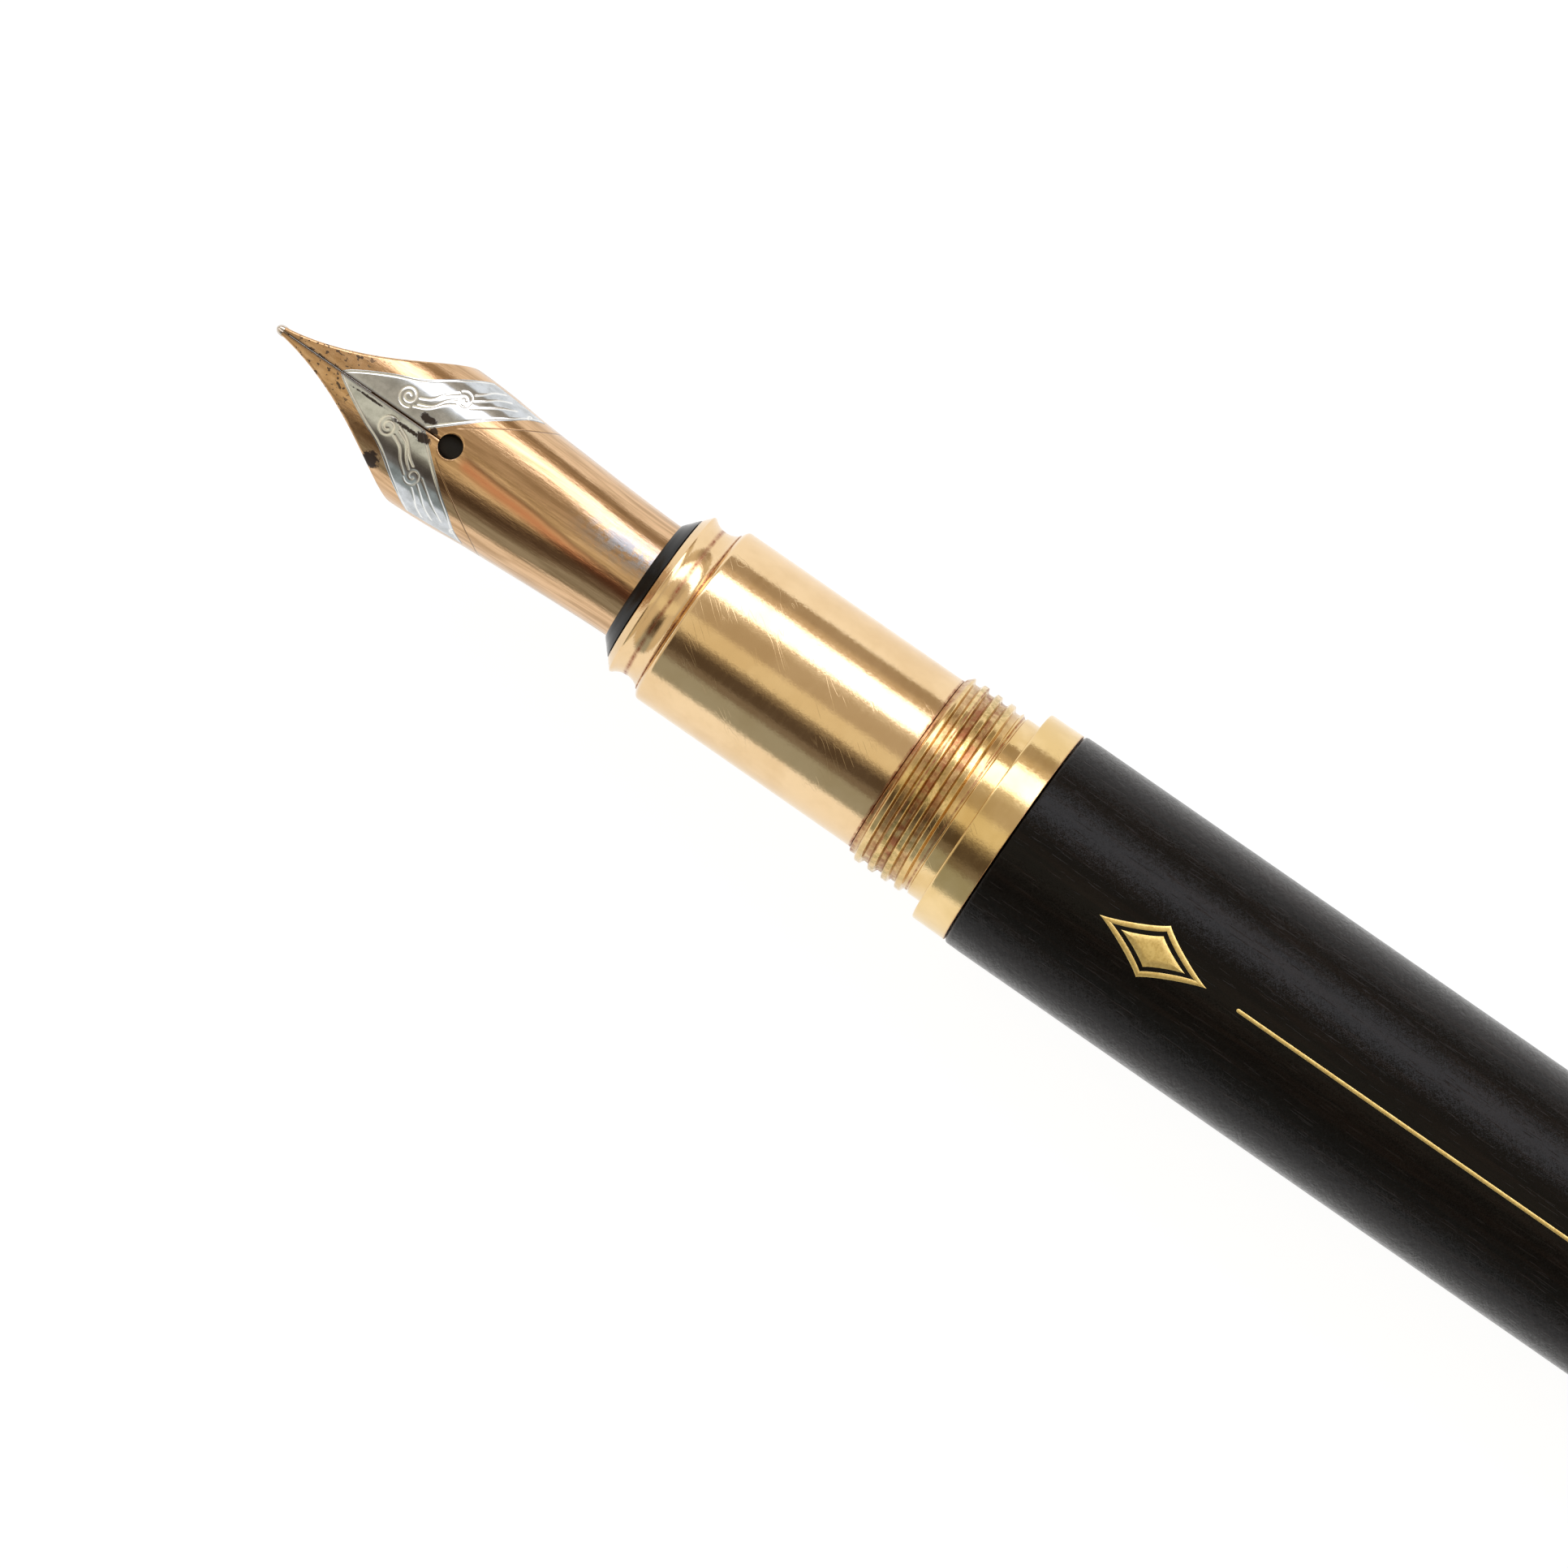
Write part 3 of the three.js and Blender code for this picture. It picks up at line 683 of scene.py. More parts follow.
def loft(rows):
    """A skin over closed sections, each row (section points, 3), with both ends closed by fans."""
    first = np.repeat(rows[:1].mean(1, keepdims=True), rows.shape[1], 1)
    last = np.repeat(rows[-1:].mean(1, keepdims=True), rows.shape[1], 1)
    points = np.concatenate([first, rows, last])
    return points, row_faces(len(points), rows.shape[1])


def make_inlay_line():
    """A thin bar let into the wood, with half-round ends."""
    front, back, half = span("inlay_line")
    ends = half * (1 - np.cos(np.linspace(0, math.pi / 2, 7)))
    x = np.concatenate([front + ends, np.linspace(front + 1, back - 1, 110), back - ends[::-1]])
    near_end = np.minimum(x - front, back - x)
    width = np.sqrt(np.clip(1 - np.clip(1 - near_end / half, 0, 1) ** 2, 0.003, 1))
    across, height = np.array([
        (-1, -INLAY_DEEP), (-1, -0.02), (-0.8, INLAY_PROUD), (0, INLAY_PROUD),
        (0.8, INLAY_PROUD), (1, -0.02), (1, -INLAY_DEEP),
    ]).T
    spread = width[:, None] * across * half
    rows = on_barrel(x[:, None] + 0 * spread, spread, height + 0 * spread)
    piece("inlay_bar", [loft(rows)], INLAY_GOLD, "barrel", ["inlay_line"])


CREST_R = THREAD["root"] + THREAD["depth"]
BAND_START, BAND_R = -2.98, 5.5
SCREW_BORE_R, BACK_BORE_R, BORE_STEP = 4.6, 3.95, -0.7
RING_FRONT, RING_BACK, RING_R = span("trim_ring")


def make_coupler():
    """The gold coupler: cap thread, band, seat for the ring, and the sleeve inside the liner."""
    front, back, _ = span("coupler")
    root = THREAD["root"]
    outer = [
        (front, root - 0.1, 0.04), (front + 0.05, root, 0.03), *thread_rows(THREAD, 22),
        (BAND_START - 0.04, root, 0.04), (BAND_START, BAND_R, 0.05), (RING_FRONT, BAND_R, 0.01),
        (RING_FRONT, CREST_R), (-PRESS_FIT, CREST_R), (-PRESS_FIT, SLEEVE_R), (back, SLEEVE_R),
    ]
    inner = [
        (front, SCREW_BORE_R, 0.12), (BORE_STEP, SCREW_BORE_R),
        (BORE_STEP, BACK_BORE_R), (back, BACK_BORE_R, 0.12),
    ]
    shell = hollow(outer, inner, 224, thread_swell(THREAD))
    piece("thread_coupler", [shell], COUPLER_GOLD, "barrel", ["coupler"])


def make_ring():
    outer = [(RING_FRONT, RING_R - 0.02, 0.16), (RING_BACK, RING_R, 0.06)]
    bore_r = CREST_R + PRESS_FIT
    shell = hollow(outer, [(RING_FRONT, bore_r), (RING_BACK, bore_r)])
    piece("collar_ring", [shell], RING_GOLD, "barrel", ["trim_ring"])


def make_tail():
    """The plug with its stud, the ring behind the wood, and the end button: a dome with a flat end
    and a shallow dish."""
    front, stud_back, _ = span("tail_plug")
    stud_r, bore_r = 2.0, 2.1
    plug = [
        (front, SLEEVE_R, 0.3), (BARREL_LENGTH, SLEEVE_R),
        (BARREL_LENGTH, stud_r), (stud_back, stud_r, 0.3),
    ]
    piece("tail_stud", [solid(plug, 96)], LINER_BRASS, "barrel", ["tail_plug"])

    front, back, radius = span("tail_ring")
    ring = hollow([(front, radius, 0.2), (back, radius, 0.2)], [(front, bore_r), (back, bore_r)])
    piece("tail_collar", [ring], RING_GOLD, "barrel", ["tail_ring"])

    front, back, radius = span("tail_finial")
    lean = np.linspace(0, math.pi / 2, 40)
    face_r = 2.6
    dome = [
        (front + (back - front) * math.sin(a), face_r + (radius - face_r) * math.cos(a), 0)
        for a in lean[1:-1]
    ]
    bore_end = stud_back + 0.3
    dish = 0.12
    corners = [
        (bore_end, 0), (bore_end, bore_r), (front, bore_r), (front, radius - 0.25), *dome,
        (back, face_r, 0.25), (back, 1.2, 0.1), (back - dish, 1.05, 0.06), (back - dish, 0),
    ]
    button = turned(softened(corners, False))
    piece("end_button", [button], RING_GOLD, "barrel", ["tail_finial"])


# ------------------------ grip section

GRIP_BACK = -6.85
GRIP_BORE_R, STUB_BORE_R = 4.02, 3.75
STUB = {"root": 4.32, "depth": 0.16, "pitch": 0.6, "start": GRIP_BACK + 0.4, "end": SECTION_BACK - 0.3}


def make_grip():
    """The gold grip: a turned lip, a hollow groove, the straight grip and a threaded stub."""
    x0 = SECTION_FRONT
    step, half = 0.12, 0.8
    groove = [
        (x0 + 0.5 + step * k, 4.51 + 0.32 * (abs(step * k - half) / half) ** 2.2, 0) for k in range(1, 13)
    ]
    lip = [(x0, 4.38, 0.05), (x0 + 0.4, 4.85, 0.14), (x0 + 0.5, 4.83, 0)]
    rise = [
        (x0 + 2.06, 4.84, 0.03), (x0 + 2.10, 4.80, 0.03), (x0 + 2.16, 4.98, 0.08),
        (x0 + 2.34, GRIP_R, 0.16),
    ]
    shoulder, root = GRIP_BACK + 0.07, STUB["root"]
    outer = [
        *lip, *groove, *rise, (shoulder, GRIP_R, 0.04), (shoulder, root, 0.05),
        *thread_rows(STUB, 12), (SECTION_BACK, root, 0.1),
    ]
    floor = x0 + 10.1
    inner = [(x0, GRIP_BORE_R), (floor, GRIP_BORE_R), (floor, STUB_BORE_R), (SECTION_BACK, STUB_BORE_R)]
    shell = hollow(outer, inner, SIDES, thread_swell(STUB))
    piece("gold_grip", [shell], GRIP_GOLD, "section", ["grip_section"])


def make_housing():
    """The black plug that holds nib and feed: a flange that swells to the lip, and a hollow nipple."""
    x0 = SECTION_FRONT
    _, back, _ = span("nib_housing")
    flange = [
        (x0 - 0.75, 3.53, 0.03), (x0 - 0.68, 3.62, 0), (x0 - 0.55, 3.76, 0), (x0 - 0.42, 3.90, 0),
        (x0 - 0.30, 4.06, 0), (x0 - 0.18, 4.19, 0), (x0 - 0.08, 4.30, 0.03), (x0 - 0.05, 4.30, 0.03),
    ]
    plug_r, bore_r, nipple_r, ink_r = 3.92, 3.5, 1.2, 0.5
    end, floor = x0 + 8.9, x0 + 8.5
    outer = [*flange, (x0 - 0.05, plug_r), (end, plug_r), (end, nipple_r), (back, nipple_r, 0.3)]
    inner = [(x0 - 0.75, bore_r, 0.03), (floor, bore_r), (floor, ink_r), (back, ink_r)]
    shell = hollow(outer, inner)
    piece("nib_collar", [shell], HOUSING_BLACK, "nib_unit", ["nib_housing"])


# ------------------------ nib
# Measured back from the tip, with the pen's axis at z = 0.

NIB_TUBE_R = 3.44
NIB_TUBE_START = 22.9
NIB_SHEET = 0.4
SHOULDER = 10.5
FRONT_CURVE_R = 4.2
TIP_DROP = 1.7
DROP_START = 14.0
TUBE_WRAP = math.radians(115)
WRAP_START = math.radians(80)
WRAP_END = 20.0
WING_SPREAD, WING_REACH = 0.66, 12.2
HOLE_BACK, HOLE_R = 11.1, 0.67
NIB_START, NIB_BACK = 0.42, span("nib")[1] - TIP


def smooth(value, low, high):
    """0 below low, 1 above high, and 3t^2 - 2t^3 between them."""
    t = np.clip((value - low) / (high - low), 0, 1)
    return t * t * (3 - 2 * t)


def wing_width(back):
    """Half the width behind the shoulder: a slow taper to the tube's radius."""
    return NIB_TUBE_R + WING_SPREAD * np.clip((NIB_TUBE_START - back) / WING_REACH, 0, None) ** 1.25


def nib_half_width(back):
    """Half the nib's width from above: a power curve for the tines, joined to the wings by a soft
    minimum."""
    tines = 0.22 + 0.1165 * back ** 1.55
    wings = wing_width(back)
    return (tines + wings - np.hypot(tines - wings, 0.15)) / 2


def nib_curve_radius(back):
    """The radius that the sheet is bent to: wide in front, closing to the tube's radius."""
    return FRONT_CURVE_R + (wing_width(back) - FRONT_CURVE_R) * smooth(back, 8.5, 14.5)


def nib_crest(back):
    return NIB_TUBE_R - TIP_DROP * np.clip(1 - back / DROP_START, 0, None) ** 1.6


def nib_wrap(back):
    """How far the sheet reaches round, from the top: to the half width in front, then on round the feed."""
    across = np.clip(nib_half_width(back) / nib_curve_radius(back), 0, 0.985)
    return np.arcsin(across) + smooth(back, SHOULDER - 1, WRAP_END) * (TUBE_WRAP - WRAP_START)


def on_nib(back, angle, height):
    """A point on the nib: bent round a centre line that falls away towards the tip. In front of the
    housing the section is flatter on top than a circle: cosine and sine are raised to a power."""
    radius = nib_curve_radius(back)
    centre = nib_crest(back) - radius
    power = 2 + 0.4 * (1 - smooth(back, 15.0, 22.5))
    squared = (np.abs(np.cos(angle)) ** power + np.abs(np.sin(angle)) ** power) ** (-1 / power)
    reach = radius * squared + height
    place = (TIP + back, reach * np.sin(angle), centre + reach * np.cos(angle))
    return np.stack(np.broadcast_arrays(*place), -1)


def nib_rows():
    """Places along the nib, closer at the tip and the shoulder, with rows that fit round the hole."""
    hole = HOLE_BACK + HOLE_R * np.cos(np.linspace(math.pi, 0, 33))
    front = NIB_START + (HOLE_BACK - HOLE_R - NIB_START) * np.linspace(0, 1, 130) ** 1.1
    rest = np.linspace(HOLE_BACK + HOLE_R, NIB_BACK, 120)
    return np.concatenate([front[:-1], hole, rest[1:]])


SLIT_HALF = 0.034
SLIT_FOOT = 0.004
COLUMNS = 46


def nib_half(side):
    """One side of the sheet: a loop over the top, round the edge, back under it and up the slit's
    wall, carried from the tip to the tube's end. side is 1 or -1."""
    back = nib_rows()[:, None]
    in_hole = np.sqrt(np.clip(HOLE_R ** 2 - (back - HOLE_BACK) ** 2, 0, None))
    inner = np.maximum(np.where(back < HOLE_BACK, SLIT_HALF, 0.0), in_hole)
    lower = np.maximum(np.where(back < HOLE_BACK, SLIT_FOOT, 0.0), in_hole)
    radius = nib_curve_radius(back)
    thick = NIB_SHEET * (0.7 + 0.3 * smooth(back, 0, 6))
    start = np.arcsin(inner / radius)
    end = nib_wrap(back) - thick / 2 / radius
    end = np.maximum(end, start + 0.02)
    share = np.linspace(0, 1, COLUMNS) ** 0.92
    lip = np.minimum(0.02, inner * 0.4)
    flat = start + (end - start) * share + lip / radius * (1 - share)
    foot = np.arcsin(lower / radius)
    under = foot + (end - foot) * share
    lean = np.linspace(0, math.pi, 9)[1:-1]
    edge = end + thick / 2 / radius * np.sin(lean)
    edge_height = -thick / 2 * (1 - np.cos(lean))
    angles = np.concatenate([flat, edge, under[:, ::-1], foot * 0.8 + start * 0.2, start], 1)
    heights = np.concatenate([0 * flat, edge_height, 0 * flat - thick, -thick * 0.8, -lip], 1)
    return on_nib(back, side * angles, heights), back[:, 0]


def sheet_faces(rows, columns, back):
    """Quads of one half: its skin, without the inner wall behind the hole where the halves are one,
    and both ends closed from the top row of points to the bottom row."""
    quads = row_faces(rows, columns)
    row, column = quads[:, 0] // columns, quads[:, 0] % columns
    joined = (back[row] >= HOLE_BACK + HOLE_R - 1e-6) & (column >= columns - 3)
    skin = quads[~joined]
    k = np.arange(COLUMNS + 3)
    top_to_bottom = columns - 3 - k
    cap = np.stack([k, k + 1, top_to_bottom - 1, top_to_bottom], 1)
    return np.concatenate([skin, cap[:, ::-1], cap + (rows - 1) * columns])


def make_nib():
    shells, quads, start = [], [], 0
    for side in (1, -1):
        points, back = nib_half(side)
        rows, columns = points.shape[:2]
        faces = sheet_faces(rows, columns, back) + start
        shells.append(points.reshape(-1, 3))
        quads.append(faces if side == 1 else faces[:, ::-1])
        start += rows * columns
    sheet = (np.concatenate(shells), np.concatenate(quads))
    piece("gold_nib", [sheet], NIB_GOLD, "nib_and_feed", ["nib"])


def make_pellet():
    """The tipping: a ball drawn out lengthwise and pinched along the slit."""
    low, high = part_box("nib_tipping")
    middle = ((low.x + high.x) / 2 - FRONT) / MM
    height = ((low.z + high.z) / 2 - AXIS_HEIGHT) / MM
    half_long = (high.x - low.x) / 2 / MM
    radius = (high.y - low.y) / 2 / MM
    rows, columns = 49, 96
    lean = np.linspace(0, math.pi, rows)[:, None]
    angle = around(columns)
    side = radius * np.sin(lean) * np.sin(angle)
    pinch = 1 - 0.16 * np.exp(-(side / 0.035) ** 2) * np.sin(lean)
    up = radius * np.sin(lean) * np.cos(angle) * pinch
    x = middle - half_long * np.cos(lean) + 0 * angle
    points = np.stack([x, side, height + up], -1)
    shell = (points, row_faces(rows, columns))
    piece("tipping_pellet", [shell], PELLET_METAL, "nib_and_feed", ["nib_tipping"])


# ------------------------ engraving

# Borders of a plated panel: (back from the tip, reach to the side).
PANEL_FRONT = [
    (4.15, 0.06), (4.3, 0.2), (4.6, 0.42), (5.4, 0.88), (6.6, 1.46), (7.9, 2.0), (9.3, 2.9), (10.9, 3.9),
]
PANEL_REAR = [
    (9.55, 0.06), (10.2, 0.63), (11.1, 1.4), (12.1, 2.2), (12.9, 2.75), (13.6, 3.3), (14.3, 3.7),
]

# Curls: (centre, first radius, last radius, turns, starting angle) and the leaves that flow from them.
CURLS = [
    ((7.8, 0.95), 0.12, 0.58, 1.7, 0.9),
    ((10.3, 2.26), 0.10, 0.46, 1.3, 0.6),
    ((13.55, 3.42), 0.05, 0.16, 0.8, 0.2),
]
LEAVES = [
    [(8.3, 0.62), (9.0, 0.95), (9.6, 1.55), (10.05, 1.85)],
    [(8.45, 0.85), (9.1, 1.15), (9.55, 1.75), (9.95, 2.1)],
    [(8.35, 1.15), (8.9, 1.45), (9.3, 1.95), (9.85, 2.4)],
    [(10.8, 2.1), (11.4, 2.5), (12.0, 2.9), (12.8, 3.3)],
    [(10.75, 2.45), (11.2, 2.8), (11.7, 3.2), (12.3, 3.5)],
    [(10.6, 2.75), (11.0, 3.1), (11.3, 3.4), (11.8, 3.7)],
]
CUT_HALF = 0.055
CUT_DEPTH = 0.022
BORDER_INSET = 0.13
PLATING_PROUD = 0.022
EDGE_GAP = 0.16


def through(points, count):
    """A smooth curve through points: a cubic between each two, with the slope of their neighbours."""
    p = np.array(points, float)
    padded = np.vstack([2 * p[0] - p[1], p, 2 * p[-1] - p[-2]])
    where = np.linspace(0, len(p) - 1, count)
    cell = np.minimum(where.astype(int), len(p) - 2)
    t = (where - cell)[:, None]
    a, b, c, d = (padded[cell + k] for k in range(4))
    square = 2 * a - 5 * b + 4 * c - d
    cube = 3 * b - a - 3 * c + d
    return 0.5 * (2 * b + (c - a) * t + square * t ** 2 + cube * t ** 3)


def curl(centre, first, last, turns, start):
    """A spiral whose radius grows evenly with its angle."""
    t = np.linspace(0, 1, 220)
    angle = start + turns * TURN * t
    radius = first + (last - first) * t
    return np.stack([centre[0] + radius * np.cos(angle), centre[1] + radius * np.sin(angle)], 1)


def unrolled(points):
    """(back, reach to the side) on the bent sheet as (back, arc from the top)."""
    back, side = np.asarray(points, float).T
    radius = nib_curve_radius(back)
    return np.stack([back, radius * np.arcsin(np.clip(side / radius, -0.995, 0.995))], 1)


def nearest(grid, line):
    """The distance from each point of a grid to a curve given by close points."""
    best = np.full(len(grid), np.inf)
    for start in range(0, len(line), 20):
        gap = grid[:, None, :] - line[None, start:start + 20, :]
        best = np.minimum(best, (gap ** 2).sum(-1).min(1))
    return np.sqrt(best)


def cut_profile(distance, half):
    """A cut with a round bottom and soft lips: 1 at the line, 0 beyond about twice its half width."""
    return np.exp(-(distance / half) ** 2 * 0.9)


def cut_strength(places, borders):
    """How deep each place is cut, 0 to 1: along the curls, the leaves and a line inside each border."""
    strength = np.zeros(len(places))
    for line in [curl(*spec) for spec in CURLS] + [through(leaf, 160) for leaf in LEAVES]:
        strength = np.maximum(strength, cut_profile(nearest(places, unrolled(line)), CUT_HALF))
    for border in borders:
        gap = np.abs(nearest(places, border) - BORDER_INSET)
        strength = np.maximum(strength, 0.9 * cut_profile(gap, CUT_HALF * 0.7))
    return strength


def from_ends(count):
    """0 at both ends, rising by one for each step in."""
    return np.minimum(np.arange(count), np.arange(count)[::-1])


def panel_shell(side):
    """A thin plate between the two borders, across from the slit to the wing's edge, cut on top."""
    rows, columns = 260, 150
    front, rear = (unrolled(through(border, rows)) for border in (PANEL_FRONT, PANEL_REAR))
    for border in (front, rear):
        wing_edge = nib_curve_radius(border[:, 0]) * nib_wrap(border[:, 0])
        border[:, 1] = np.minimum(border[:, 1], wing_edge - EDGE_GAP)
    v = np.linspace(0, 1, columns)[None, :, None]
    grid = front[:, None, :] * (1 - v) + rear[:, None, :] * v
    strength = cut_strength(grid.reshape(-1, 2), (front, rear)).reshape(rows, columns)
    rim = np.minimum(from_ends(rows)[:, None], from_ends(columns))
    height = PLATING_PROUD * np.clip(rim, 0, 1) - CUT_DEPTH * strength * np.clip(rim / 2, 0, 1)
    angle = side * grid[..., 1] / nib_curve_radius(grid[..., 0])
    top = on_nib(grid[..., 0], angle, height)
    under = on_nib(grid[..., 0], angle, -0.03 + 0 * height)
    points = np.concatenate([top.reshape(-1, 3), under.reshape(-1, 3)])
    faces = row_faces(rows, columns, closed_columns=False)
    count = rows * columns
    number = np.arange(count).reshape(rows, columns)
    loop = np.concatenate([number[0], number[1:, -1], number[-1, -2::-1], number[-2:0:-1, 0]])
    after = np.roll(loop, -1)
    sides = np.stack([loop, after, after + count, loop + count], 1)
    quads = np.concatenate([faces, faces[:, ::-1] + count, sides[:, ::-1]])
    marks = np.concatenate([strength.reshape(-1), 0 * strength.reshape(-1)])
    return points, quads, marks


def make_plating():
    for side, name in ((1, "plating_left"), (-1, "plating_right")):
        points, quads, marks = panel_shell(side)
        piece(name, [(points, quads)], NIB_PLATING, "nib_and_feed", [], [marks])


# ------------------------ feed

FEED_NOSE, FEED_FULL, FEED_BACK = 6.0, 15.0, 32.2
FEED_R = 2.95
FINS = {"first": 12.0, "count": 9, "pitch": 1.15, "slot": 0.5}


def feed_waist(back):
    """How much the section shrinks in the slots between the fins: steps with soft corners."""
    phase = (back - FINS["first"]) / FINS["pitch"]
    inside = (phase > -0.001) & (phase < FINS["count"])
    share = FINS["slot"] / FINS["pitch"]
    wave = phase % 1
    slot = smooth(wave, 0.0, 0.04) * (1 - smooth(wave, share - 0.04, share))
    return 1 - 0.24 * slot * inside


def make_feed():
    """A bar with oval sections that grows from a thin nose, cut by a row of fins, with a channel
    down its underside."""
    even = np.linspace(FEED_NOSE + 0.02, FEED_BACK, 120)
    fin_starts = FINS["first"] + np.arange(FINS["count"]) * FINS["pitch"]
    offsets = np.array([-0.02, 0, 0.02, 0.046, 0.1, 0.4, 0.454, 0.48, 0.5, 0.53])
    back = np.unique(np.concatenate([even, (fin_starts[:, None] + offsets).ravel()]))[:, None]
    along = np.clip((back - FEED_NOSE) / (FEED_FULL - FEED_NOSE), 0, 1)
    waist = feed_waist(back)
    top = nib_crest(back) - NIB_SHEET - 0.09
    nose_bottom = nib_crest(np.array([[FEED_NOSE]])) - NIB_SHEET - 0.6
    bottom = (nose_bottom + (-FEED_R - nose_bottom) * along ** 0.8) * np.where(back > 11.5, waist, 1)
    half_width = (0.5 + (FEED_R - 0.5) * along ** 0.7) * waist
    angle = around(96)
    channel = 0.25 * np.exp(-((np.abs(angle - math.pi)) / 0.12) ** 2) * smooth(back, 13, 16)
    height = (top + bottom) / 2 + np.cos(angle) * (top - bottom) / 2 + channel
    rows = np.stack([TIP + back + 0 * angle, np.sin(angle) * half_width, height], -1)
    piece("finned_feed", [loft(rows)], FEED_BLACK, "nib_and_feed", ["feed"])


# ------------------------ converter

INK_BORE_R = 2.7
MOUTH_R, MOUTH_BORE_R, MOUTH_LENGTH = 2.4, 1.26, 4.6
FERRULE_BORE_R, KNOB_NECK_R = 3.35, 3.35
ROD_BORE_R = 1.15


def make_ink_tube():
    front, back, radius = span("ink_tube")
    mouth = front + MOUTH_LENGTH
    outer = [(front, MOUTH_R, 0.15), (mouth, MOUTH_R, 0.3), (mouth + 0.8, radius, 0.3), (back, radius)]
    inner = [
        (front, MOUTH_BORE_R, 0.1), (mouth, MOUTH_BORE_R),
        (mouth + 0.4, INK_BORE_R, 0.15), (back, INK_BORE_R),
    ]
    piece("clear_tube", [hollow(outer, inner, 128)], CLEAR, "converter", ["ink_tube"])


def make_ferrule():
    front, back, radius = span("ferrule")
    bands = []
    for start in (front + 1.2, front + 1.9, back - 1.8, back - 1.1):
        bands += [(start, radius, 0.04), (start + 0.1, radius - 0.1, 0.04), (start + 0.2, radius, 0.04)]
    outer = [(front, radius, 0.15), *bands, (back, radius, 0.1)]
    shell = hollow(outer, [(front, FERRULE_BORE_R), (back, FERRULE_BORE_R)], 128)
    piece("chrome_ferrule", [shell], CHROME, "converter", ["ferrule"])


def make_rod_guide():
    bush = tube("rod_guide", ROD_BORE_R, 96)
    piece("guide_bush", [bush], KNOB_BLACK, "converter", ["rod_guide"])


def make_knob():
    """The turning knob: a plain neck, a fluted grip whose ridges follow a cosine round it, and a
    rounded end."""
    front, back, radius = span("converter_knob")
    grip = (front + 1.6, back - 1.6)
    rows = [(x, radius - 0.09, 0) for x in np.linspace(*grip, 60)]
    outer = [
        (front, KNOB_NECK_R, 0.1), (front + 1.2, KNOB_NECK_R, 0.05),
        (front + 1.4, radius - 0.09, 0.1), *rows,
        (back - 1.2, radius - 0.09, 0.2), (back - 0.3, radius - 0.5, 0.3), (back, radius - 1.2, 0.3),
    ]
    bore_end = span("screw_sleeve")[1] + 0.2
    bore_r = 2.45

    def flutes(x, r, angle):
        fade = smooth(x, grip[0], grip[0] + 0.4) * (1 - smooth(x, grip[1] - 0.4, grip[1]))
        return np.where(r > radius - 0.15, 0.08 * fade * np.abs(np.cos(18 * angle)), 0)

    corners = [(bore_end, 0), (bore_end, bore_r), (front, bore_r), *outer, (back, 0)]
    shell = turned(softened(corners, False), 216, flutes)
    piece("fluted_knob", [shell], KNOB_BLACK, "knob", ["converter_knob"])


def make_screw_sleeve():
    sleeve = tube("screw_sleeve", ROD_BORE_R, 96)
    piece("drive_sleeve", [sleeve], KNOB_BLACK, "knob", ["screw_sleeve"])


def make_piston():
    """The threaded rod, and a seal with a lip at each end."""
    front, back, radius = span("piston_rod")
    root = radius - 0.14
    screw = {"root": root, "depth": 0.12, "pitch": 1.2, "start": front + 3, "end": back - 0.5}
    rod = solid([(front, root, 0.05), *thread_rows(screw, 14), (back, root, 0.2)], 64, thread_swell(screw))
    piece("piston_screw", [rod], KNOB_BLACK, "piston", ["piston_rod"])

    front, back, radius = span("piston_seal")
    outer = [
        (front, 1.4, 0.3), (front + 0.15, radius - 0.25, 0.1), (front, radius - 0.05, 0.08),
        (front + 0.7, radius, 0.15), (front + 1.1, radius - 0.35, 0.2),
        (back - 1.1, radius - 0.35, 0.2), (back - 0.7, radius, 0.15), (back, radius - 0.05, 0.08),
    ]
    piece("rubber_seal", [solid(outer, 96)], SEAL_RUBBER, "piston", ["piston_seal"])


for make in (
    make_wood, make_liner, make_emblem, make_inlay_line, make_coupler, make_ring, make_tail, make_grip,
    make_housing, make_nib, make_pellet, make_plating, make_feed, make_ink_tube, make_ferrule,
    make_rod_guide, make_knob, make_screw_sleeve, make_piston,
):
    make()


# ------------------------ studio

WHITE = (1.0, 1.0, 1.0)
SIDE_TONE = (0.74, 0.65, 0.50, 1)
END_TONE = (0.62, 0.56, 0.46)
SKY_SEEN = (0.93, 0.93, 0.92)

# What stands round the pen, by angle from straight up towards +Y in degrees: (from, to, light).
SURROUNDINGS = [
    (-180, -88, WHITE),
    (-88, -59, (0.39, 0.41, 0.38)),
    (-59, -48, (0.22, 0.19, 0.16)),
    (-48, -30, (0.105, 0.08, 0.06)),
    (-30, -22, (0.3, 0.25, 0.18)),
    (-22, 0, (0.88, 0.8, 0.6)),
    (0, 24, (0.56, 0.48, 0.37)),
    (24, 33, (0.76, 0.7, 0.6)),
    (33, 61, (3.1, 3.1, 3.3)),
    (61, 72, (0.7, 0.58, 0.44)),
    (72, 93, (0.46, 0.38, 0.29)),
    (93, 180, WHITE),
]
BLUR = 2.6


def fill_ramp(ramp):
    """Set the ramp to the surroundings, over -180 to 180 degrees, with a short blend between them."""
    stops = [(edge, light) for low, high, light in SURROUNDINGS for edge in (low + BLUR, high - BLUR)]
    while len(ramp.elements) < len(stops):
        ramp.elements.new(0.5)
    for element, (edge, light) in zip(ramp.elements, stops):
        element.position = edge / 360 + 0.5
        element.color = (*light, 1)


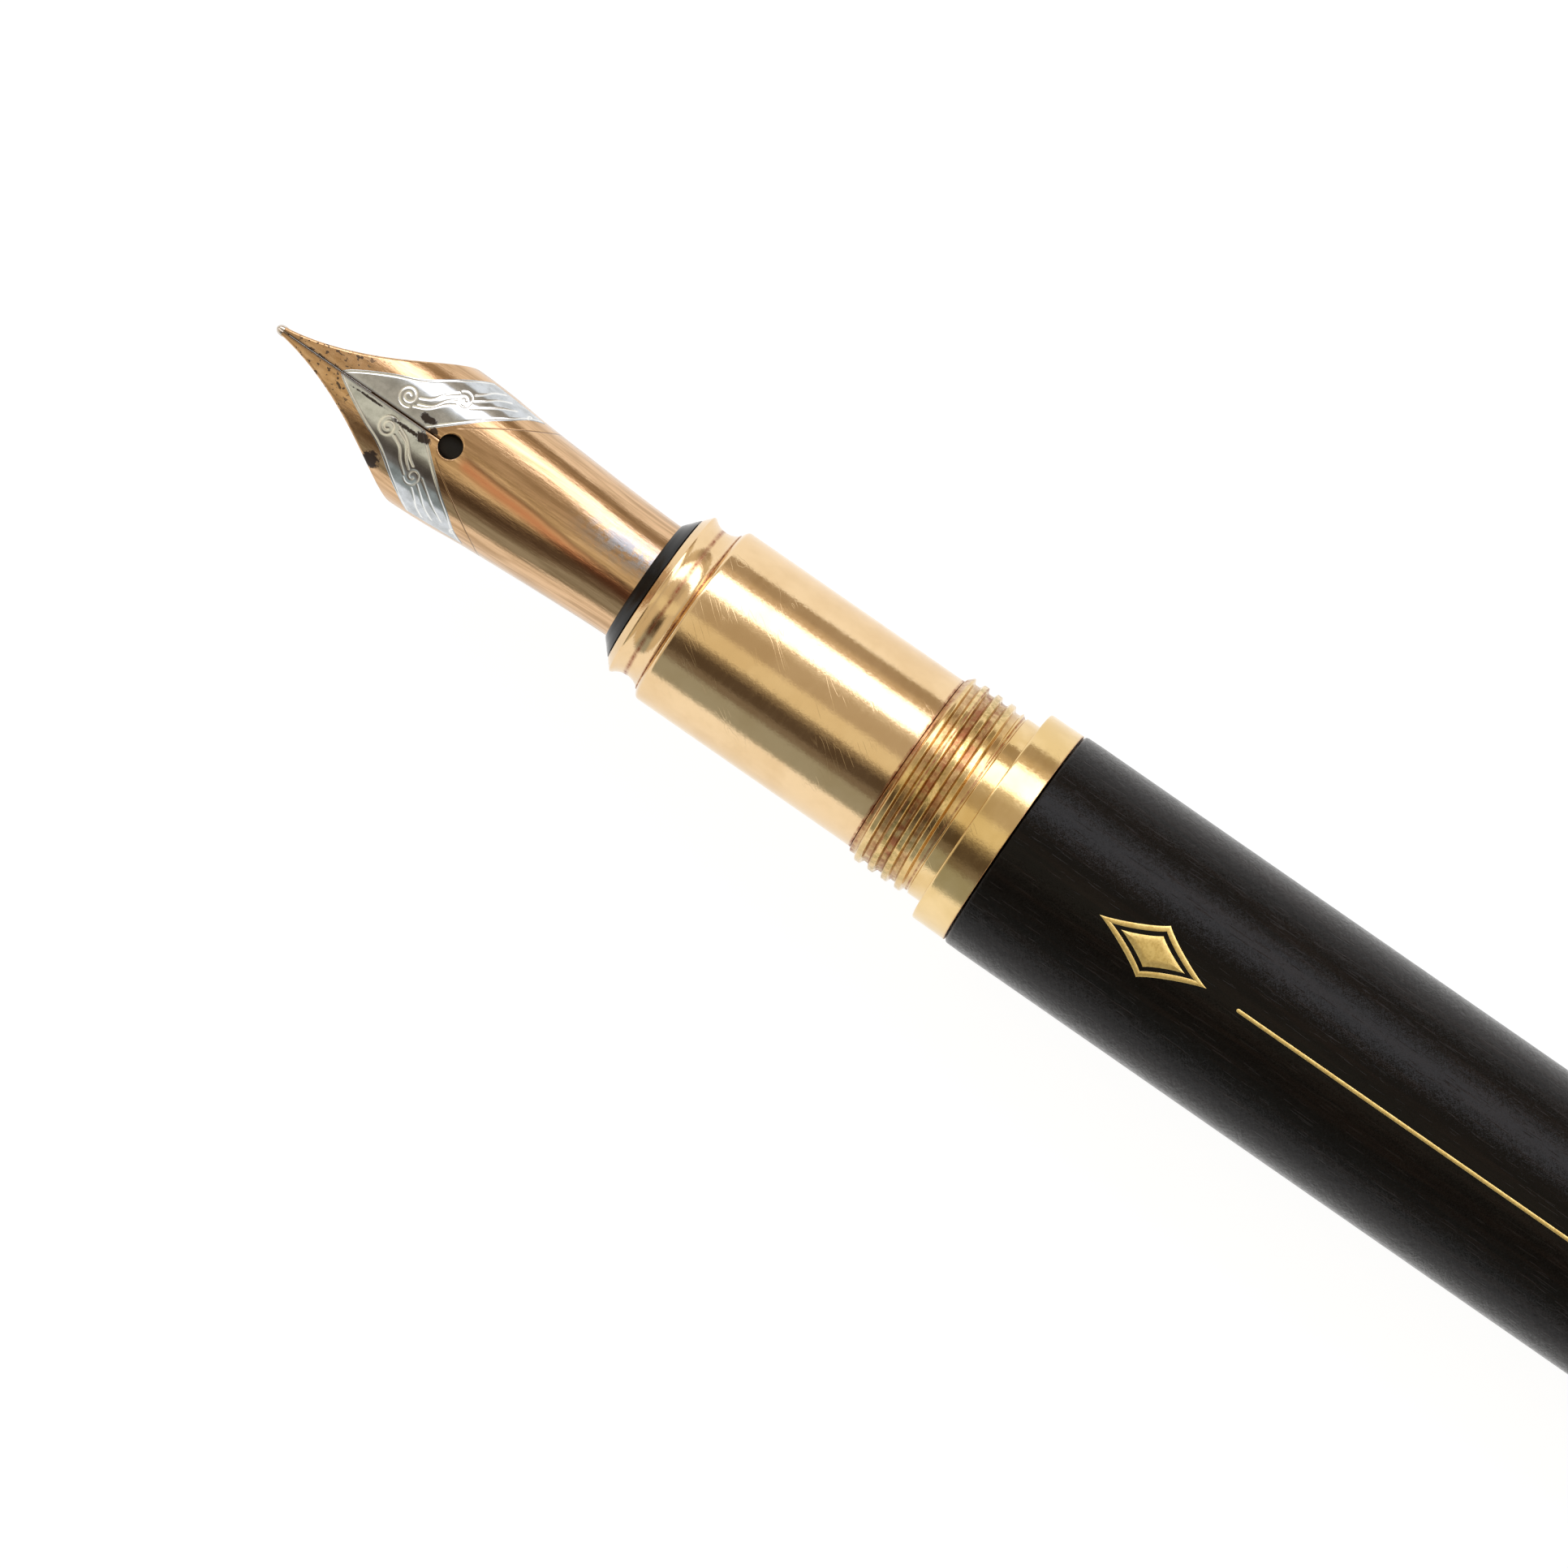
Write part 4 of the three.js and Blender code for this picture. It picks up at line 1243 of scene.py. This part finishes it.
def make_world():
    """Soft panels, strips and dark gaps in bands along the pen, as a tent of studio boards gives.
    Towards the pen's ends the gaps fill in, and past them the tent is one even tone."""
    world = bpy.data.worlds.new("studio")
    bpy.context.scene.world = world
    recipe = Recipe(world)
    way = recipe.node("ShaderNodeTexCoord", output=0)
    x, y, z = recipe.axes(way)
    angle = recipe.angle((x, y, z))
    bands = recipe.node("ShaderNodeValToRGB", {}, {0: angle / 360 + 0.5})
    fill_ramp(bands.socket.node.color_ramp)
    ends = recipe.step(abs(x), 0.25, 0.6)
    settings = {"data_type": "RGBA", "blend_type": "LIGHTEN"}
    lifted = recipe.node("ShaderNodeMix", settings, {0: ends, 6: bands, 7: SIDE_TONE}, 2)
    light = recipe.mix(recipe.step(abs(x), 0.8, 0.98), lifted, END_TONE)
    seen = recipe.node("ShaderNodeLightPath")
    light = recipe.mix(seen, light, SKY_SEEN)
    background = recipe.node("ShaderNodeBackground", {}, {"Color": light, "Strength": 1.0})
    recipe.node("ShaderNodeOutputWorld", {}, {"Surface": background})


def make_floor():
    """A white table that glows a little, as a light table does."""
    recipe = Recipe(bpy.data.materials.new("white_table"))
    point = recipe.node("ShaderNodeTexCoord", output=3)
    fibre = recipe.noise(point, 900.0, 3.0)
    colour = recipe.mix(fibre, (0.18, 0.18, 0.18), (0.16, 0.16, 0.16))
    others = {
        "Specular IOR Level": 0.1,
        "Emission Color": (1, 1, 1, 1),
        "Emission Strength": 0.93,
    }
    material = finished(recipe, colour, 0.8, None, others)
    reach = 3.0
    corners = [(-reach, -reach, 0), (reach, -reach, 0), (reach, reach, 0), (-reach, reach, 0)]
    floor = linked("table", new_mesh("table", corners, [(0, 1, 2, 3)], material))
    floor.location.z = -20 * MICRON


TILT = math.radians(2.8)
ROLL = math.radians(34.76)
DISTANCE = 1.0
VIEW_WIDTH = 81.34 * MM
AIM_LEFT = 11.986 * MM
AIM_UP = 2.838 * MM
SENSOR = 36.0


def make_camera():
    """Almost straight above, turned so that the pen runs down to the right, with the nib at the
    upper left and the barrel leaving the view."""
    towards = Vector((math.sin(TILT), 0, math.cos(TILT)))
    level = Vector((math.cos(TILT), 0, -math.sin(TILT)))
    right = math.cos(ROLL) * level + math.sin(ROLL) * Vector((0, 1, 0))
    up = towards.cross(right)
    target = Vector((FRONT, 0, AXIS_HEIGHT)) - AIM_LEFT * right + AIM_UP * up
    data = bpy.data.cameras.new("studio_camera")
    data.sensor_width = SENSOR
    data.lens = SENSOR * DISTANCE / VIEW_WIDTH
    data.clip_start = 0.01
    data.clip_end = 50
    camera = linked("studio_camera", data)
    turn = Matrix((right, up, towards)).transposed().to_4x4()
    camera.matrix_world = Matrix.Translation(target + DISTANCE * towards) @ turn
    bpy.context.scene.camera = camera


make_world()
make_floor()
make_camera()
bpy.context.scene.view_settings.view_transform = "Standard"
